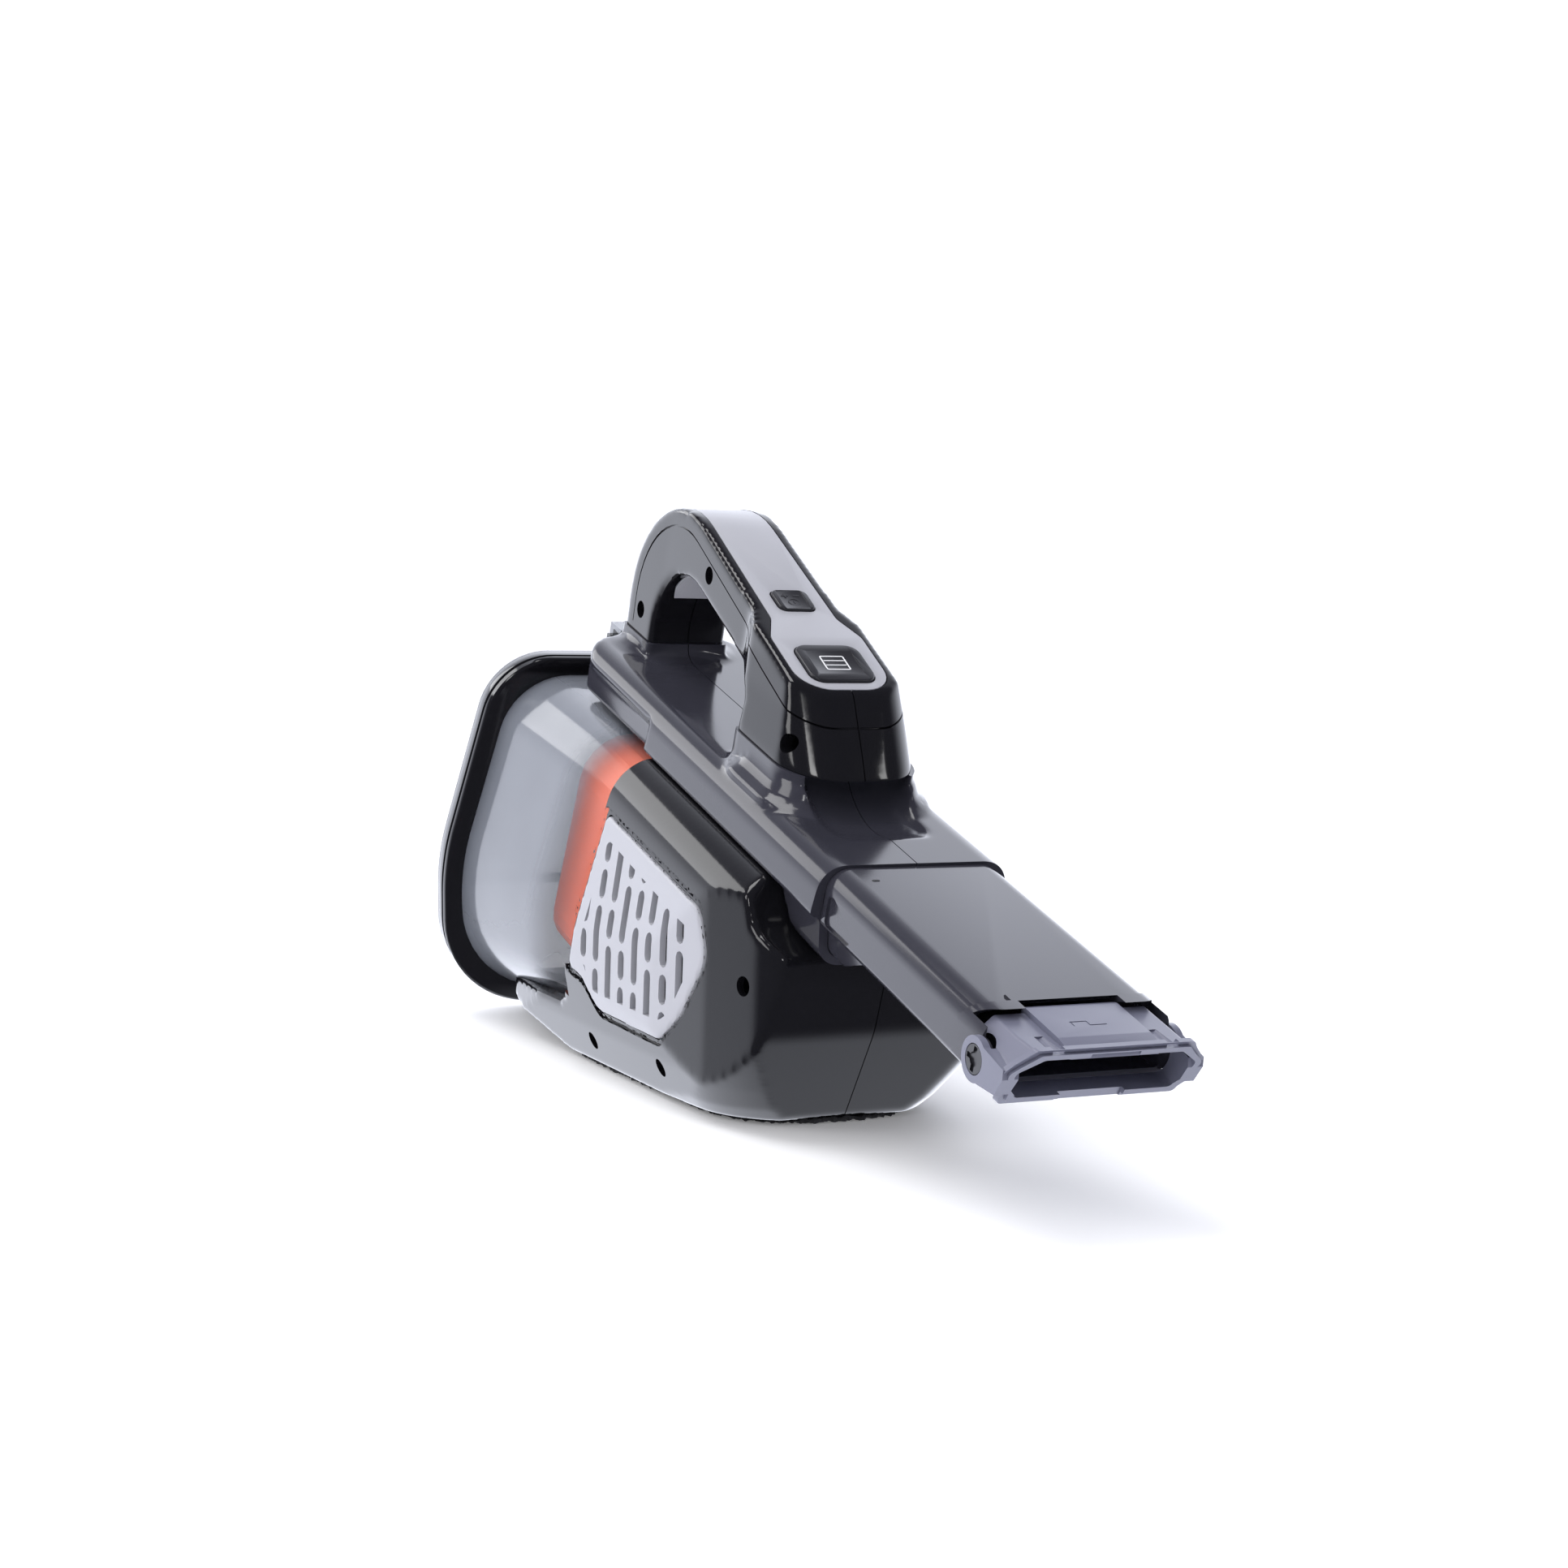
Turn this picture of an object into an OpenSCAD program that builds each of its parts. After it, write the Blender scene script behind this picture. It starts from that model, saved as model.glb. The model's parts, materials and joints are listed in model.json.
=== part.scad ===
// Cordless handheld vacuum with a rear dust bowl. +Z is up, the nozzle points to -Y and the
// origin is the middle of the flat base. The duct, nozzle and bowl lie in a sloped frame
// (x, v, h): v runs rearward along the duct's top and h rises square to it.

/* [Overall] */
// Slope of the duct, nozzle and dust bowl, nose down
slope = 16.7; // [14:0.1:18]
// Height of the duct's top at its front end
nose_z = 101; // [98:0.5:110]
// Distance from the base's middle to the duct's front end
nose_reach = 120.5; // [115:0.5:126]

/* [Nozzle] */
// Length of the nozzle outside the collar
nozzle_len = 107; // [70:1:130]
// Half width of the nozzle
nozzle_half = 34; // [30:0.5:36]
// Depth of the nozzle's section
nozzle_deep = 22; // [20:0.5:24]
// Wall of the nozzle
nozzle_wall = 2; // [1.5:0.1:3]
// Length of the tip, from its pivot to the top of its mouth
tip_len = 26; // [22:0.5:40]
// Half width of the tip's mouth at its widest
mouth_half = 38.3; // [36:0.5:44]
// Radius of the tip's pivot boss
boss_r = 7.5; // [6:0.1:8]
// Radius of the tip's pivot pins
tip_pin_r = 2.5; // [2:0.1:3.5]

/* [Top shell] */
// Half width of the duct shell
shell_half = 36.5; // [35:0.5:38]
// Depth of the duct shell
shell_deep = 19; // [17:0.5:21]
// Length of the duct shell
shell_len = 232; // [222:1:240]
// Wall of the shells
wall = 2.5; // [2:0.1:3]
// Depth of the collar round the nozzle
collar_deep = 38; // [36:0.5:42]

/* [Motor housing] */
// Length of the flat base
base_len = 151; // [130:1:160]
// Width of the flat base
base_w = 93; // [80:1:96]
// Half width of the housing at its widest
hull_half = 60; // [57:0.5:63]
// Thickness of the sole
sole_t = 2; // [1:0.1:3]

/* [Dust bowl] */
// Distance from the collar to the bowl's front edge
bowl_v = 145; // [142:1:150]
// Length of the bowl, from its front edge to the rim
bowl_len = 105; // [90:1:126]
// Half width of the rim
rim_half = 73.5; // [66:0.5:80]
// Height of the rim
rim_high = 159; // [150:1:162]
// Wall of the bowl
bowl_wall = 2.2; // [1.6:0.1:3]
// Thickness of the rim
rim_t = 12; // [8:0.5:14]
// Depth of the filter frame inside the bowl
filter_deep = 42; // [30:1:46]

/* [Handle] */
// Half width of the grip
grip_half = 18; // [15:0.5:20]
// Thickness of the grip
grip_t = 22; // [19:0.5:24]
// Rise of the grip against the duct
grip_rise = 14.3; // [12:0.1:16]
// Half width of the front post
post_half = 27; // [24:0.5:29]
// Thickness of the grip panel
panel_t = 1.6; // [1:0.1:2]
// Travel of the buttons
button_travel = 1.2; // [0.8:0.1:1.5]

/* [Motor and battery] */
// Radius of the motor's can
motor_r = 19; // [15:0.5:20]
// Length of the motor's can
motor_len = 52; // [40:1:56]
// Radius of the fan
fan_r = 36; // [30:0.5:38]
// Radius of a battery cell
cell_r = 9.2; // [8:0.1:9.2]
// Length of a battery cell
cell_len = 65; // [55:1:70]

/* [Hidden] */
$fn = 48;

// Gap between mated pieces that don't move
seat = 0.15;
// Radial clearance of a running pin
running = 0.05;
// Gap between pieces that move past each other
moving = 0.4;
// Far more than any piece reaches
far = 400;

nose_y = -nose_reach;
panel_half = grip_half - 4.5;
bowl_end = bowl_v + bowl_len;
rim_end = bowl_end + rim_t;
rim_top = -17.5;
rim_low = rim_top - rim_high;
bowl_top = -shell_deep - 1;
bowl_low = -124;
bulkhead_v = bowl_v - 3;

// Front post and rear post: their middles along v, half lengths and the heights of their seams
post_v = 71.5;
post_long = 28;
post_h = 11.8;
rear_v = 218;
rear_long = 13.5;
rear_half = grip_half - 1.2;
rear_h = 6.3;
// Front upper corner of the grip's top line, in (v, h)
grip_v = 65;
grip_h = 38.5;
grip_end = 235;
bend_r = 48;

// Buttons: place along the grip's top line, half width and half length
power_s = 17.5;
power_w = 13.3;
power_l = 11.5;
mode_s = 59;
mode_w = 7.6;
mode_l = 6.6;
button_t = 4.5;
button_up = 1;
board_down = 11;
board_t = 1.6;

// Pivot of the tip, and the radius that its rear edge sweeps
tip_v = -nozzle_len - 6.5;
tip_h = -14.6;
sweep_r = 14.6;
ear_t = 2.4;

// Grille slots: place of the first, half width, lengths, gap, pitch, drop from column to column and margin
slot_y = 10.1;
slot_z = 92.6;
slot_half = 2.2;
slot_long = 21.6;
slot_short = 11.1;
slot_gap = 2.75;
slot_pitch = 11;
slot_drop = 14;
slot_margin = 7.5;

// Door hinge, latch and inlet flap
hinge_h = rim_low - 1.2;
hinge_v = rim_end + 0.5;
knuckle_r = 3.2;
hinge_pin_r = 1.5;
latch_half = 10;
latch_drop = 2.6;
latch_h = -13.8;
flap_v = bowl_v + filter_deep + 8;
flap_len = 27;
flap_half = 22;
flap_h = bowl_top - bowl_wall - 5.6;
flap_pin_r = 1.2;

// Motor axis height, fan and battery places
axis_h = -80;
fan_v = bulkhead_v - 20;
motor_v = fan_v - 8 - motor_len;
shroud_r = fan_r + 5;
shaft_r = 1.6;
tray_t = 1.4;
cell_z = sole_t + wall + tray_t + cell_r + 1.2;

// Side screws: [y, z] of the housing's and [v, h] of the shells'
hull_screws = [[-84, 54], [49.5 - base_len / 2, 14], [40, 12]];
grip_screws = [[160, 50], [rear_v, 16], [62, 20]];
screw_r = 1.5;
// Charging jack: place of its axis in (y, z) and radius of its body
jack_y = 95;
jack_z = 13;
jack_r = 4.5;
head_r = 3.2;
boss_half = 4.2;
// The cells lie in two pairs, with the lower front screw's boss between them
cell_pitch = 2 * cell_r + 1;
cell_gap = cell_r + boss_half + 1;
cell_ys = [for (d = [-cell_gap - cell_pitch, -cell_gap, cell_gap, cell_gap + cell_pitch])
    hull_screws[1][0] + d];

// ---- outlines ----

function unit(a) = a / norm(a);
function arc_between(m, r, a, turn, n) = [for (k = [0:n]) m + r * [cos(a + turn * k / n),
    sin(a + turn * k / n)]];
function corner(p, c, q, n) =
    let (b = [c[0], c[1]], u = unit([p[0], p[1]] - b), w = unit([q[0], q[1]] - b),
        half = acos(u * w) / 2, m = b + unit(u + w) * c[2] / sin(half),
        s = b + u * c[2] / tan(half) - m, e = b + w * c[2] / tan(half) - m,
        a = atan2(s[1], s[0]), turn = (atan2(e[1], e[0]) - a + 540) % 360 - 180)
    arc_between(m, c[2], a, turn, n);
// Outline whose corners [x, y, radius] become arcs of n steps
function rounded(c, n = 5) = [for (i = [0:len(c) - 1])
    each c[i][2] == 0 ? [[c[i][0], c[i][1]]]
        : corner(c[(i + len(c) - 1) % len(c)], c[i], c[(i + 1) % len(c)], n)];
// Corners of a shape that is the same on both sides of x = 0, from its right half
function both(half) = concat(half, [for (i = [len(half) - 1:-1:0]) [-half[i][0], half[i][1], half[i][2]]]);
// A point of the sloped frame as [y, z]
function level(v, h) = [nose_y + v * cos(slope) - h * sin(slope), nose_z + v * sin(slope) + h * cos(slope)];
function level_corner(v, h, r) = concat(level(v, h), [r]);
// Height of the grip's top line over v
function grip_line(v) = grip_h + (v - grip_v) * tan(grip_rise);

// Section of the bowl and housing at the bowl's front edge, in (x, h)
function front_outline(e, n = 6) = rounded(both([[hull_half - 10 - e, bowl_top - e, 20],
    [hull_half - e, -90, 90], [hull_half - 5 - e, bowl_low + e, 16]]), n);
// Section of the rim, in (x, h)
function rear_outline(e, n = 6) = rounded(both([[rim_half - 13 - e, rim_top - e, 28],
    [rim_half - e, rim_top - 92, 110], [rim_half - 9 - e, rim_low + e, 46]]), n);
function mix(a, b, t) = [for (i = [0:len(a) - 1]) a[i] + (b[i] - a[i]) * t];
function at_v(outline, v) = [for (p = outline) [p[0], v, p[1]]];
function bowl_ring(t, e) = at_v(mix(front_outline(e), rear_outline(7 + e), t), bowl_v + bowl_len * t);

// ---- solids from outlines ----

module sloped() translate([0, nose_y, nose_z]) rotate([slope, 0, 0]) children();
module on_grip() sloped() translate([0, grip_v, grip_h]) rotate([grip_rise, 0, 0]) children();
module along_x(outline, x0, x1) translate([x0, 0, 0]) rotate([90, 0, 90]) linear_extrude(x1 - x0)
    polygon(outline);
module along_y(outline, y0, y1) translate([0, y1, 0]) rotate([90, 0, 0]) linear_extrude(y1 - y0)
    polygon(outline);
module along_z(outline, z0, z1) translate([0, 0, z0]) linear_extrude(z1 - z0) polygon(outline);
module bar_x(r, x0, x1) translate([x0, 0, 0]) rotate([0, 90, 0]) cylinder(r = r, h = x1 - x0);
module rod_v(r, v0, v1) translate([0, v0, 0]) rotate([-90, 0, 0]) cylinder(r = r, h = v1 - v0);
module box_at(x0, x1, y0, y1, z0, z1) translate([x0, y0, z0]) cube([x1 - x0, y1 - y0, z1 - z0]);
module right_side(gap = 0) translate([-far, -far, -far]) cube([far - gap, 2 * far, 2 * far]);
module left_side(gap = 0) translate([gap, -far, -far]) cube([far, 2 * far, 2 * far]);
// Solid through rings of points, each ring a flat outline
module skin(rings) {
    n = len(rings[0]);
    m = len(rings);
    sides = [for (j = [0:m - 2], i = [0:n - 1]) let (k = (i + 1) % n, a = j * n, b = a + n)
        each [[a + i, b + i, b + k], [a + i, b + k, a + k]]];
    front = [[for (i = [0:n - 1]) i]];
    back = [[for (i = [n - 1:-1:0]) (m - 1) * n + i]];
    polyhedron([for (r = rings) each r], concat(front, sides, back));
}
module rounded_box(w, l, h, r) linear_extrude(h) {
    square([w - 2 * r, l], center = true);
    square([w, l - 2 * r], center = true);
    for (x = [-1, 1], y = [-1, 1]) translate([x * (w / 2 - r), y * (l / 2 - r)]) circle(r);
}

// ---- shared forms ----

module bowl_form(e, t0 = 0, t1 = 1) skin([for (t = [t0, (t0 + t1) / 2, t1]) bowl_ring(t, e)]);

// Motor housing's outer form, moved in by e
module hull_form(e) {
    side = rounded([[-base_len / 2 + 1.5 + e, sole_t + e, 3], concat([-nose_reach + 26 + e, 37, 30]),
        [-nose_reach + 19 + e, 58, 12], level_corner(8 + e, -collar_deep - 0.6 - e, 2),
        level_corner(24, -collar_deep + 4 - e, 8), level_corner(34, -shell_deep - 0.3 - e, 6),
        level_corner(bowl_v - e, -shell_deep - 0.3 - e, 0), level_corner(bowl_v - e, bowl_low + 3, 0),
        [level(bowl_v, bowl_low)[0] + 6, 24 - e, 3], [base_len / 2 + 56 - e, 24 - e, 2],
        [base_len / 2 + 57.5 - e, 15, 4], [base_len / 2 - 2, sole_t + e, 8]]);
    plan = rounded(both([[48 - e, base_len / 2 + 60, 8], [hull_half + 0.5 - e, 50, 60],
        [hull_half - 3 - e, -25, 60], [hull_half - 8 - e, -62, 40], [42 - e, -nose_reach + 10 + e, 26]]));
    low = rounded(both([[far / 2, far, 0], [far / 2, 60, 0], [hull_half + 2 - e, 45, 0],
        [base_w / 2 + 7 - e, 18, 6], [base_w / 2 - e, sole_t - 0.5 + e, 0]]));
    intersection() {
        along_x(side, -far / 2, far / 2);
        along_z(plan, -1, far);
        along_y(low, -far, far);
        sloped() along_y(rounded(both([[hull_half - 10 - e, bowl_top + 1.5 - e, 20],
            [hull_half + 0.4 - e, -90, 90], [hull_half + 0.4 - e, -far, 0]]), 6), -far, far);
    }
}
// Outline of the side grille in (y, z), moved in by e
function grille_outline(e) = rounded([level_corner(bowl_v - 2.5 - e, bowl_top - 21 - e, 3),
    [-56 + e, 78 - e, 8],
    [-62 + e, 60, 12], [-46 + e, 37, 14], [-32, 25.5 + e, 9], [24, 27 + e, 9], [33, 38 + e, 5],
    level_corner(bowl_v - 2.5 - e, bowl_low + 19 + e, 4)], 4);
// Long and short slots in turn down each column, each column lower than the one behind it
module grille_slots() {
    period = slot_long + slot_short + 2 * slot_gap;
    for (c = [-3:7]) translate([0, slot_y - c * slot_pitch, slot_z - (c * slot_drop) % period])
        for (k = [-2:2]) {
        box_at(-far / 2, far / 2, -slot_half, slot_half, k * period - slot_long, k * period);
        box_at(-far / 2, far / 2, -slot_half, slot_half, k * period - slot_long - slot_gap - slot_short,
            k * period - slot_long - slot_gap);
    }
}

// Duct shell: a long cover, recessed along its rear sides, with a deeper collar at its front end
module shell_form() sloped() {
    difference() {
        intersection() {
            along_y(rounded(both([[shell_half, 0, 10], [shell_half + 2, -shell_deep, 1]])), 0, shell_len);
            along_z(rounded(both([[far / 4, -1, 0], [far / 4, bowl_v + 3, 0], [shell_half, bowl_v + 7, 2],
                [shell_half, shell_len, 20]])), -far, far);
        }
        for (s = [-1, 1]) translate([s * (shell_half + far / 4 - 1.2), 0, 0])
            box_at(-far / 4, far / 4, bowl_v + 7, far, -far / 8, -7);
    }
    intersection() {
        along_y(rounded(both([[shell_half - 0.6, -9, 0], [shell_half - 5, -collar_deep, 9]])), 0, far / 8);
        along_x([[-1, -8], [34, -8], [34, -shell_deep], [24, -collar_deep + 4.6], [8, -collar_deep],
            [-1, -collar_deep]], -far, far);
    }
}
// Side outline of the handle in (v, h), moved in by e and with its two feet lengthened by down
function handle_side(e, down = 0) = rounded([[grip_v - 19.5 + e * 1.4 - down, post_h - down, 0],
    [grip_v + e, grip_h - e, 8 - e],
    [grip_end - e, grip_line(grip_end) - e, bend_r - e], [rear_v + rear_long - e, rear_h - down, 0],
    [rear_v - rear_long + e, rear_h - down, 0], [209 + e, grip_line(209) - grip_t * 1.03 + e, 30 + e],
    [post_v + post_long + 0.5 - e, grip_line(100) - grip_t * 1.03 + e, 8],
    [post_v + post_long - e, post_h - down, 0]], 9);
function handle_plan(e) = rounded(both([[post_half - e, post_v - post_long - 3 + e, 18],
    [post_half - e, post_v + post_long - 4, 10],
    [grip_half - e, post_v + post_long + 20, 20], [rear_half - e, rear_v - 16, 0],
    [rear_half - e, grip_end + 6 - e, 13]]));
module handle_form(e, down = 0) sloped() intersection() {
    along_x(handle_side(e, down), -far / 4, far / 4);
    along_z(handle_plan(e), -far / 4, far / 4);
}
// Strip along the top of the handle, from up above its surface down to t, grown sideways by g
module panel_strip(up, t, g) sloped() intersection() {
    difference() {
        along_x(handle_side(-up), -far / 8, far / 8);
        along_x(handle_side(t, 2), -far / 4, far / 4);
    }
    along_z(rounded(both([[power_w + 5.5 + g, grip_v + 1.5 - g, 7], [power_w + 5.5 + g, grip_v + 34, 8],
        [panel_half + g, grip_v + 46, 8], [panel_half - 1.5 + g, 205 + g, 8]])), grip_h - 12, far / 4);
}
module button_holes(g) on_grip() {
    translate([0, power_s, -far / 4]) rounded_box(2 * (power_w + g), 2 * (power_l + g), far / 2, 4);
    translate([0, mode_s, -far / 4]) rounded_box(2 * (mode_w + g), 2 * (mode_l + g), far / 2, 3);
}
module screw_places() {
    for (p = hull_screws) translate([0, p[0], p[1]]) children();
    sloped() for (p = grip_screws) translate([0, p[0], p[1]]) children();
}

// ---- shells ----

module top_shell() difference() {
    union() {
        shell_form();
        sloped() {
            translate([0, post_v, -3]) rounded_box(2 * post_half + 2, 2 * post_long + 2, post_h + 3 - seat,
                18);
            translate([0, rear_v, -3]) rounded_box(2 * rear_half + 2, 2 * rear_long, rear_h + 3 - seat, 12);
        }
    }
    sloped() {
        along_y(rounded(both([[shell_half - wall, -wall, 8], [shell_half - wall, -shell_deep + wall, 3]])),
            -1, flap_v + flap_len);
        along_y(rounded(both([[shell_half - 3, -3, 8], [shell_half - 8, -collar_deep + 2.5, 7]])), -1, 22);
        translate([0, post_v, -1]) rounded_box(2 * post_half - 8, 2 * post_long - 8, post_h + 2, 14);
        translate([0, flap_v + flap_len / 2, -far / 8]) rounded_box(2 * flap_half, flap_len - 2,
            far / 8 - 6, 4);
        box_at(-latch_half - 0.6, latch_half + 0.6, shell_len - 7, shell_len + 1,
            latch_h - latch_drop - 0.6, latch_h + 2.6);
    }
}
module top_shell_right() color("#26262c") intersection() { top_shell(); right_side(); }
module top_shell_left() color("#26262c") intersection() { top_shell(); left_side(); }

module screw_boss() bar_x(boss_half, -far / 8, far / 8);
module screw_hole() {
    bar_x(head_r + 0.3, -far / 2, -5);
    bar_x(screw_r + 0.3, -6, 0.01);
    bar_x(screw_r, 0, 11);
}
module motor_housing() difference() {
    union() {
        difference() {
            hull_form(0);
            difference() {
                hull_form(wall);
                sloped() box_at(-far, far, bulkhead_v, far, -far, far);
            }
        }
        intersection() {
            for (p = hull_screws) translate([0, p[0], p[1]]) screw_boss();
            hull_form(wall / 2);
        }
    }
    sloped() bowl_form(-0.3, -0.002, 1.1);
    sloped() translate([0, 0, axis_h]) rod_v(30, bulkhead_v - 1, bowl_v + 1);
    for (s = [-1, 1]) intersection() {
        along_x(grille_outline(-seat), s > 0 ? 5 : -far / 2, s > 0 ? far / 2 : -5);
        hull_form(-1);
    }
    for (p = hull_screws) translate([0, p[0], p[1]]) screw_hole();
    translate([0, jack_y, jack_z]) bar_x(jack_r + 0.1, 36, far / 4);
}
module motor_housing_right() color("#1e1e24") intersection() { motor_housing(); right_side(); }
module motor_housing_left() color("#1e1e24") intersection() { motor_housing(); left_side(); }

module handle() difference() {
    union() {
        difference() {
            handle_form(0);
            handle_form(wall, 1);
        }
        intersection() {
            sloped() for (p = grip_screws) translate([0, p[0], p[1]]) screw_boss();
            handle_form(wall / 2);
        }
    }
    panel_strip(2, panel_t + seat, seat);
    button_holes(moving);
    sloped() for (p = grip_screws) translate([0, p[0], p[1]]) screw_hole();
}
module handle_right() color("#1c1c22") intersection() { handle(); right_side(); }
module handle_left() color("#1c1c22") intersection() { handle(); left_side(); }

module housing_screws() color("silver") screw_places() {
    bar_x(screw_r, -5, 10.8);
    difference() {
        bar_x(head_r, -7.4, -5);
        translate([-7.4, 0, 0]) for (a = [0, 90]) rotate([a, 0, 0]) box_at(-0.1, 1.1, -0.4, 0.4, -2, 2);
    }
}
module base_pad() color("#141416") along_z(rounded(both([[base_w / 2, base_len / 2, 12],
    [base_w / 2 - 1, 0, 200], [base_w / 2 - 6, -base_len / 2, 36]]), 8), 0, sole_t);

// ---- side grilles ----

module vent_grille_right() color("#d6d9e2") difference() {
    intersection() {
        along_x(grille_outline(0), -far / 2, -8);
        hull_form(0);
    }
    hull_form(wall);
    intersection() {
        grille_slots();
        along_x(grille_outline(slot_margin), -far / 2, far / 2);
    }
}
module vent_grille_left() mirror([1, 0, 0]) vent_grille_right();
module exhaust_foams() color("#303036") for (s = [-1, 1]) intersection() {
    along_x(grille_outline(9), -far / 2, far / 2);
    translate([s * (hull_half - 14.5), 0, 0]) box_at(-1.2, 1.2, -20, far / 2, 0, far / 2);
}

// ---- handle controls ----

module grip_panel() color("#dfe2ea") difference() {
    panel_strip(0, panel_t, 0);
    button_holes(0.3);
}
module button(w, l, r) {
    translate([0, 0, button_up - button_t]) rounded_box(2 * w, 2 * l, button_t, r);
    translate([0, 0, button_up - button_t - 1.2]) rounded_box(2 * w - 3, 2 * l - 3, 1.3, r - 1.5);
}
module power_button() color("#2c2d33") on_grip() translate([0, power_s, 0]) button(power_w, power_l, 4);
module mode_button() color("#2c2d33") on_grip() translate([0, mode_s, 0]) button(mode_w, mode_l, 3);
module control_board() color("#2e6b3f") on_grip() translate([0, (power_s + mode_s) / 2 - 2, -board_down])
    rounded_box(20, mode_s - power_s + 20, board_t, 2);
module button_switches() color("#8a8d94") on_grip() for (s = [power_s, mode_s])
    translate([0, s, board_t - board_down + 0.02]) {
    translate([-3, -3, 0]) cube([6, 6, 2.6]);
    cylinder(r = 1.6, h = board_down - board_t - button_t + button_up - 1.2 - button_travel - 0.35);
}

// ---- nozzle and tip ----

// Region swept by the tip, from below its mouth round to its flipped place
module tip_sweep() translate([0, tip_v, tip_h]) {
    intersection() {
        bar_x(sweep_r + moving, -far / 2, far / 2);
        along_x([[0, 0], [far, -far * tan(6)], [far, far], [-far, far], [-far, -far * 0.2], [-4, -far]],
            -far / 2, far / 2);
    }
    box_at(-far / 2, far / 2, -far, -4, -far, far);
}
module nozzle_form(e) {
    along_y(rounded(both([[nozzle_half - e, -1 - e, 8 - e], [nozzle_half - e, -1 - nozzle_deep + e, 3]])),
        tip_v - 2, -0.3);
    intersection() {
        along_y(rounded(both([[nozzle_half - 0.6 - e, -1 - e, 8 - e],
            [shell_half - 8 - seat - e, -collar_deep + 2.5 + seat + e, 7]])), -30, -0.3);
        along_x([[0, 0], [-30, 0], [-30, -nozzle_deep], [-8, -collar_deep + 3.5 + e],
            [0, -collar_deep + 3 + e]], -far, far);
    }
}
module nozzle() color("#2b2c32") sloped() difference() {
    union() {
        difference() {
            nozzle_form(0);
            tip_sweep();
        }
        translate([0, tip_v, tip_h]) for (s = [-1, 1])
            bar_x(boss_r - 0.5, s > 0 ? nozzle_half - ear_t : -nozzle_half,
                s > 0 ? nozzle_half : ear_t - nozzle_half);
        translate([0, tip_v, tip_h]) for (s = [-1, 1]) along_x([[0, -3], [sweep_r + 3, -2.2],
            [sweep_r + 3, -6], [2, -6.5]],
            s > 0 ? nozzle_half - ear_t : -nozzle_half, s > 0 ? nozzle_half : ear_t - nozzle_half);
        along_y(rounded(both([[shell_half - 3 - seat, -3 - seat, 8],
            [shell_half - 8 - seat, -collar_deep + 2.5 + seat, 7]])), -0.4, 18);
    }
    along_y(rounded(both([[nozzle_half - nozzle_wall, -1 - nozzle_wall, 6],
        [nozzle_half - nozzle_wall, -1 - nozzle_deep + nozzle_wall, 2]])), tip_v - far, -0.3);
    along_y(rounded(both([[shell_half - 6, -6, 6], [shell_half - 11, -collar_deep + 6, 5]])), -0.4, 19);
    translate([0, tip_v, tip_h]) bar_x(tip_pin_r, -far, far);
}
module nozzle_seal() color("#101012") sloped() difference() {
    along_y(rounded(both([[shell_half - 3 - seat, -3 - seat, 8],
        [shell_half - 8 - seat, -collar_deep + 4.8, 7]])), 18.2, 21.6);
    along_y(rounded(both([[shell_half - 7, -7, 6], [shell_half - 12, -collar_deep + 8.8, 5]])), 18, 22);
}
// Tip's outer form: a six-sided mouth that leans back below, moved in by e
module tip_form(e) {
    mouth = rounded(both([[mouth_half - 11.8 - e, -2.6 - e, 2], [mouth_half - e, -12.8, 3],
        [mouth_half - 9.3 - e, -24 + e, 2]]), 3);
    root = rounded(both([[nozzle_half - 6 - e, -3.4 - e, 2], [nozzle_half - 0.6 - e, -9, 3],
        [nozzle_half - 2.4 - e, -23 + e, 2]]), 3);
    skin([at_v(mouth, tip_v - tip_len - 3), at_v(root, tip_v - 8), at_v(root, tip_v + 9)]);
}
module flip_tip() color("#8f92a3") sloped() difference() {
    union() {
        difference() {
            tip_form(0);
            tip_form(2);
        }
        translate([0, tip_v, tip_h]) for (s = [-1, 1]) {
            bar_x(boss_r, s > 0 ? nozzle_half + moving : -nozzle_half - moving - ear_t,
                s > 0 ? nozzle_half + moving + ear_t : -nozzle_half - moving);
            along_x([[0, boss_r - 1], [-17, 5], [-19, -4], [-4, -boss_r + 1]],
                s > 0 ? nozzle_half - 3 : -nozzle_half - moving - ear_t,
                s > 0 ? nozzle_half + moving + ear_t : 3 - nozzle_half);
        }
    }
    translate([0, tip_v, tip_h]) {
        bar_x(boss_r + moving, -nozzle_half - moving, nozzle_half + moving);
        rear_trim();
        bar_x(tip_pin_r + running, -far, far);
    }
    mouth_cut();
}
// Trims the tip's rear edge to an arc round its pivot, above, and to a straight edge below
module rear_trim() along_x([[7, far], [7, 8], [-4, -boss_r], [-4, -far], [far, -far], [far, far]],
    -nozzle_half - moving, nozzle_half + moving);
module mouth_cut() along_x([[tip_v - tip_len, 6], [tip_v - tip_len + 16, -30], [-far, -30], [-far, 6]],
    -far, far);
module tip_pins() color("#b9bcc8") sloped() translate([0, tip_v, tip_h]) for (s = [-1, 1])
    bar_x(tip_pin_r, s > 0 ? nozzle_half - ear_t : -nozzle_half - moving - ear_t - 0.3,
        s > 0 ? nozzle_half + moving + ear_t + 0.3 : ear_t - nozzle_half);

// ---- dust bowl, rim and door ----

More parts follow.
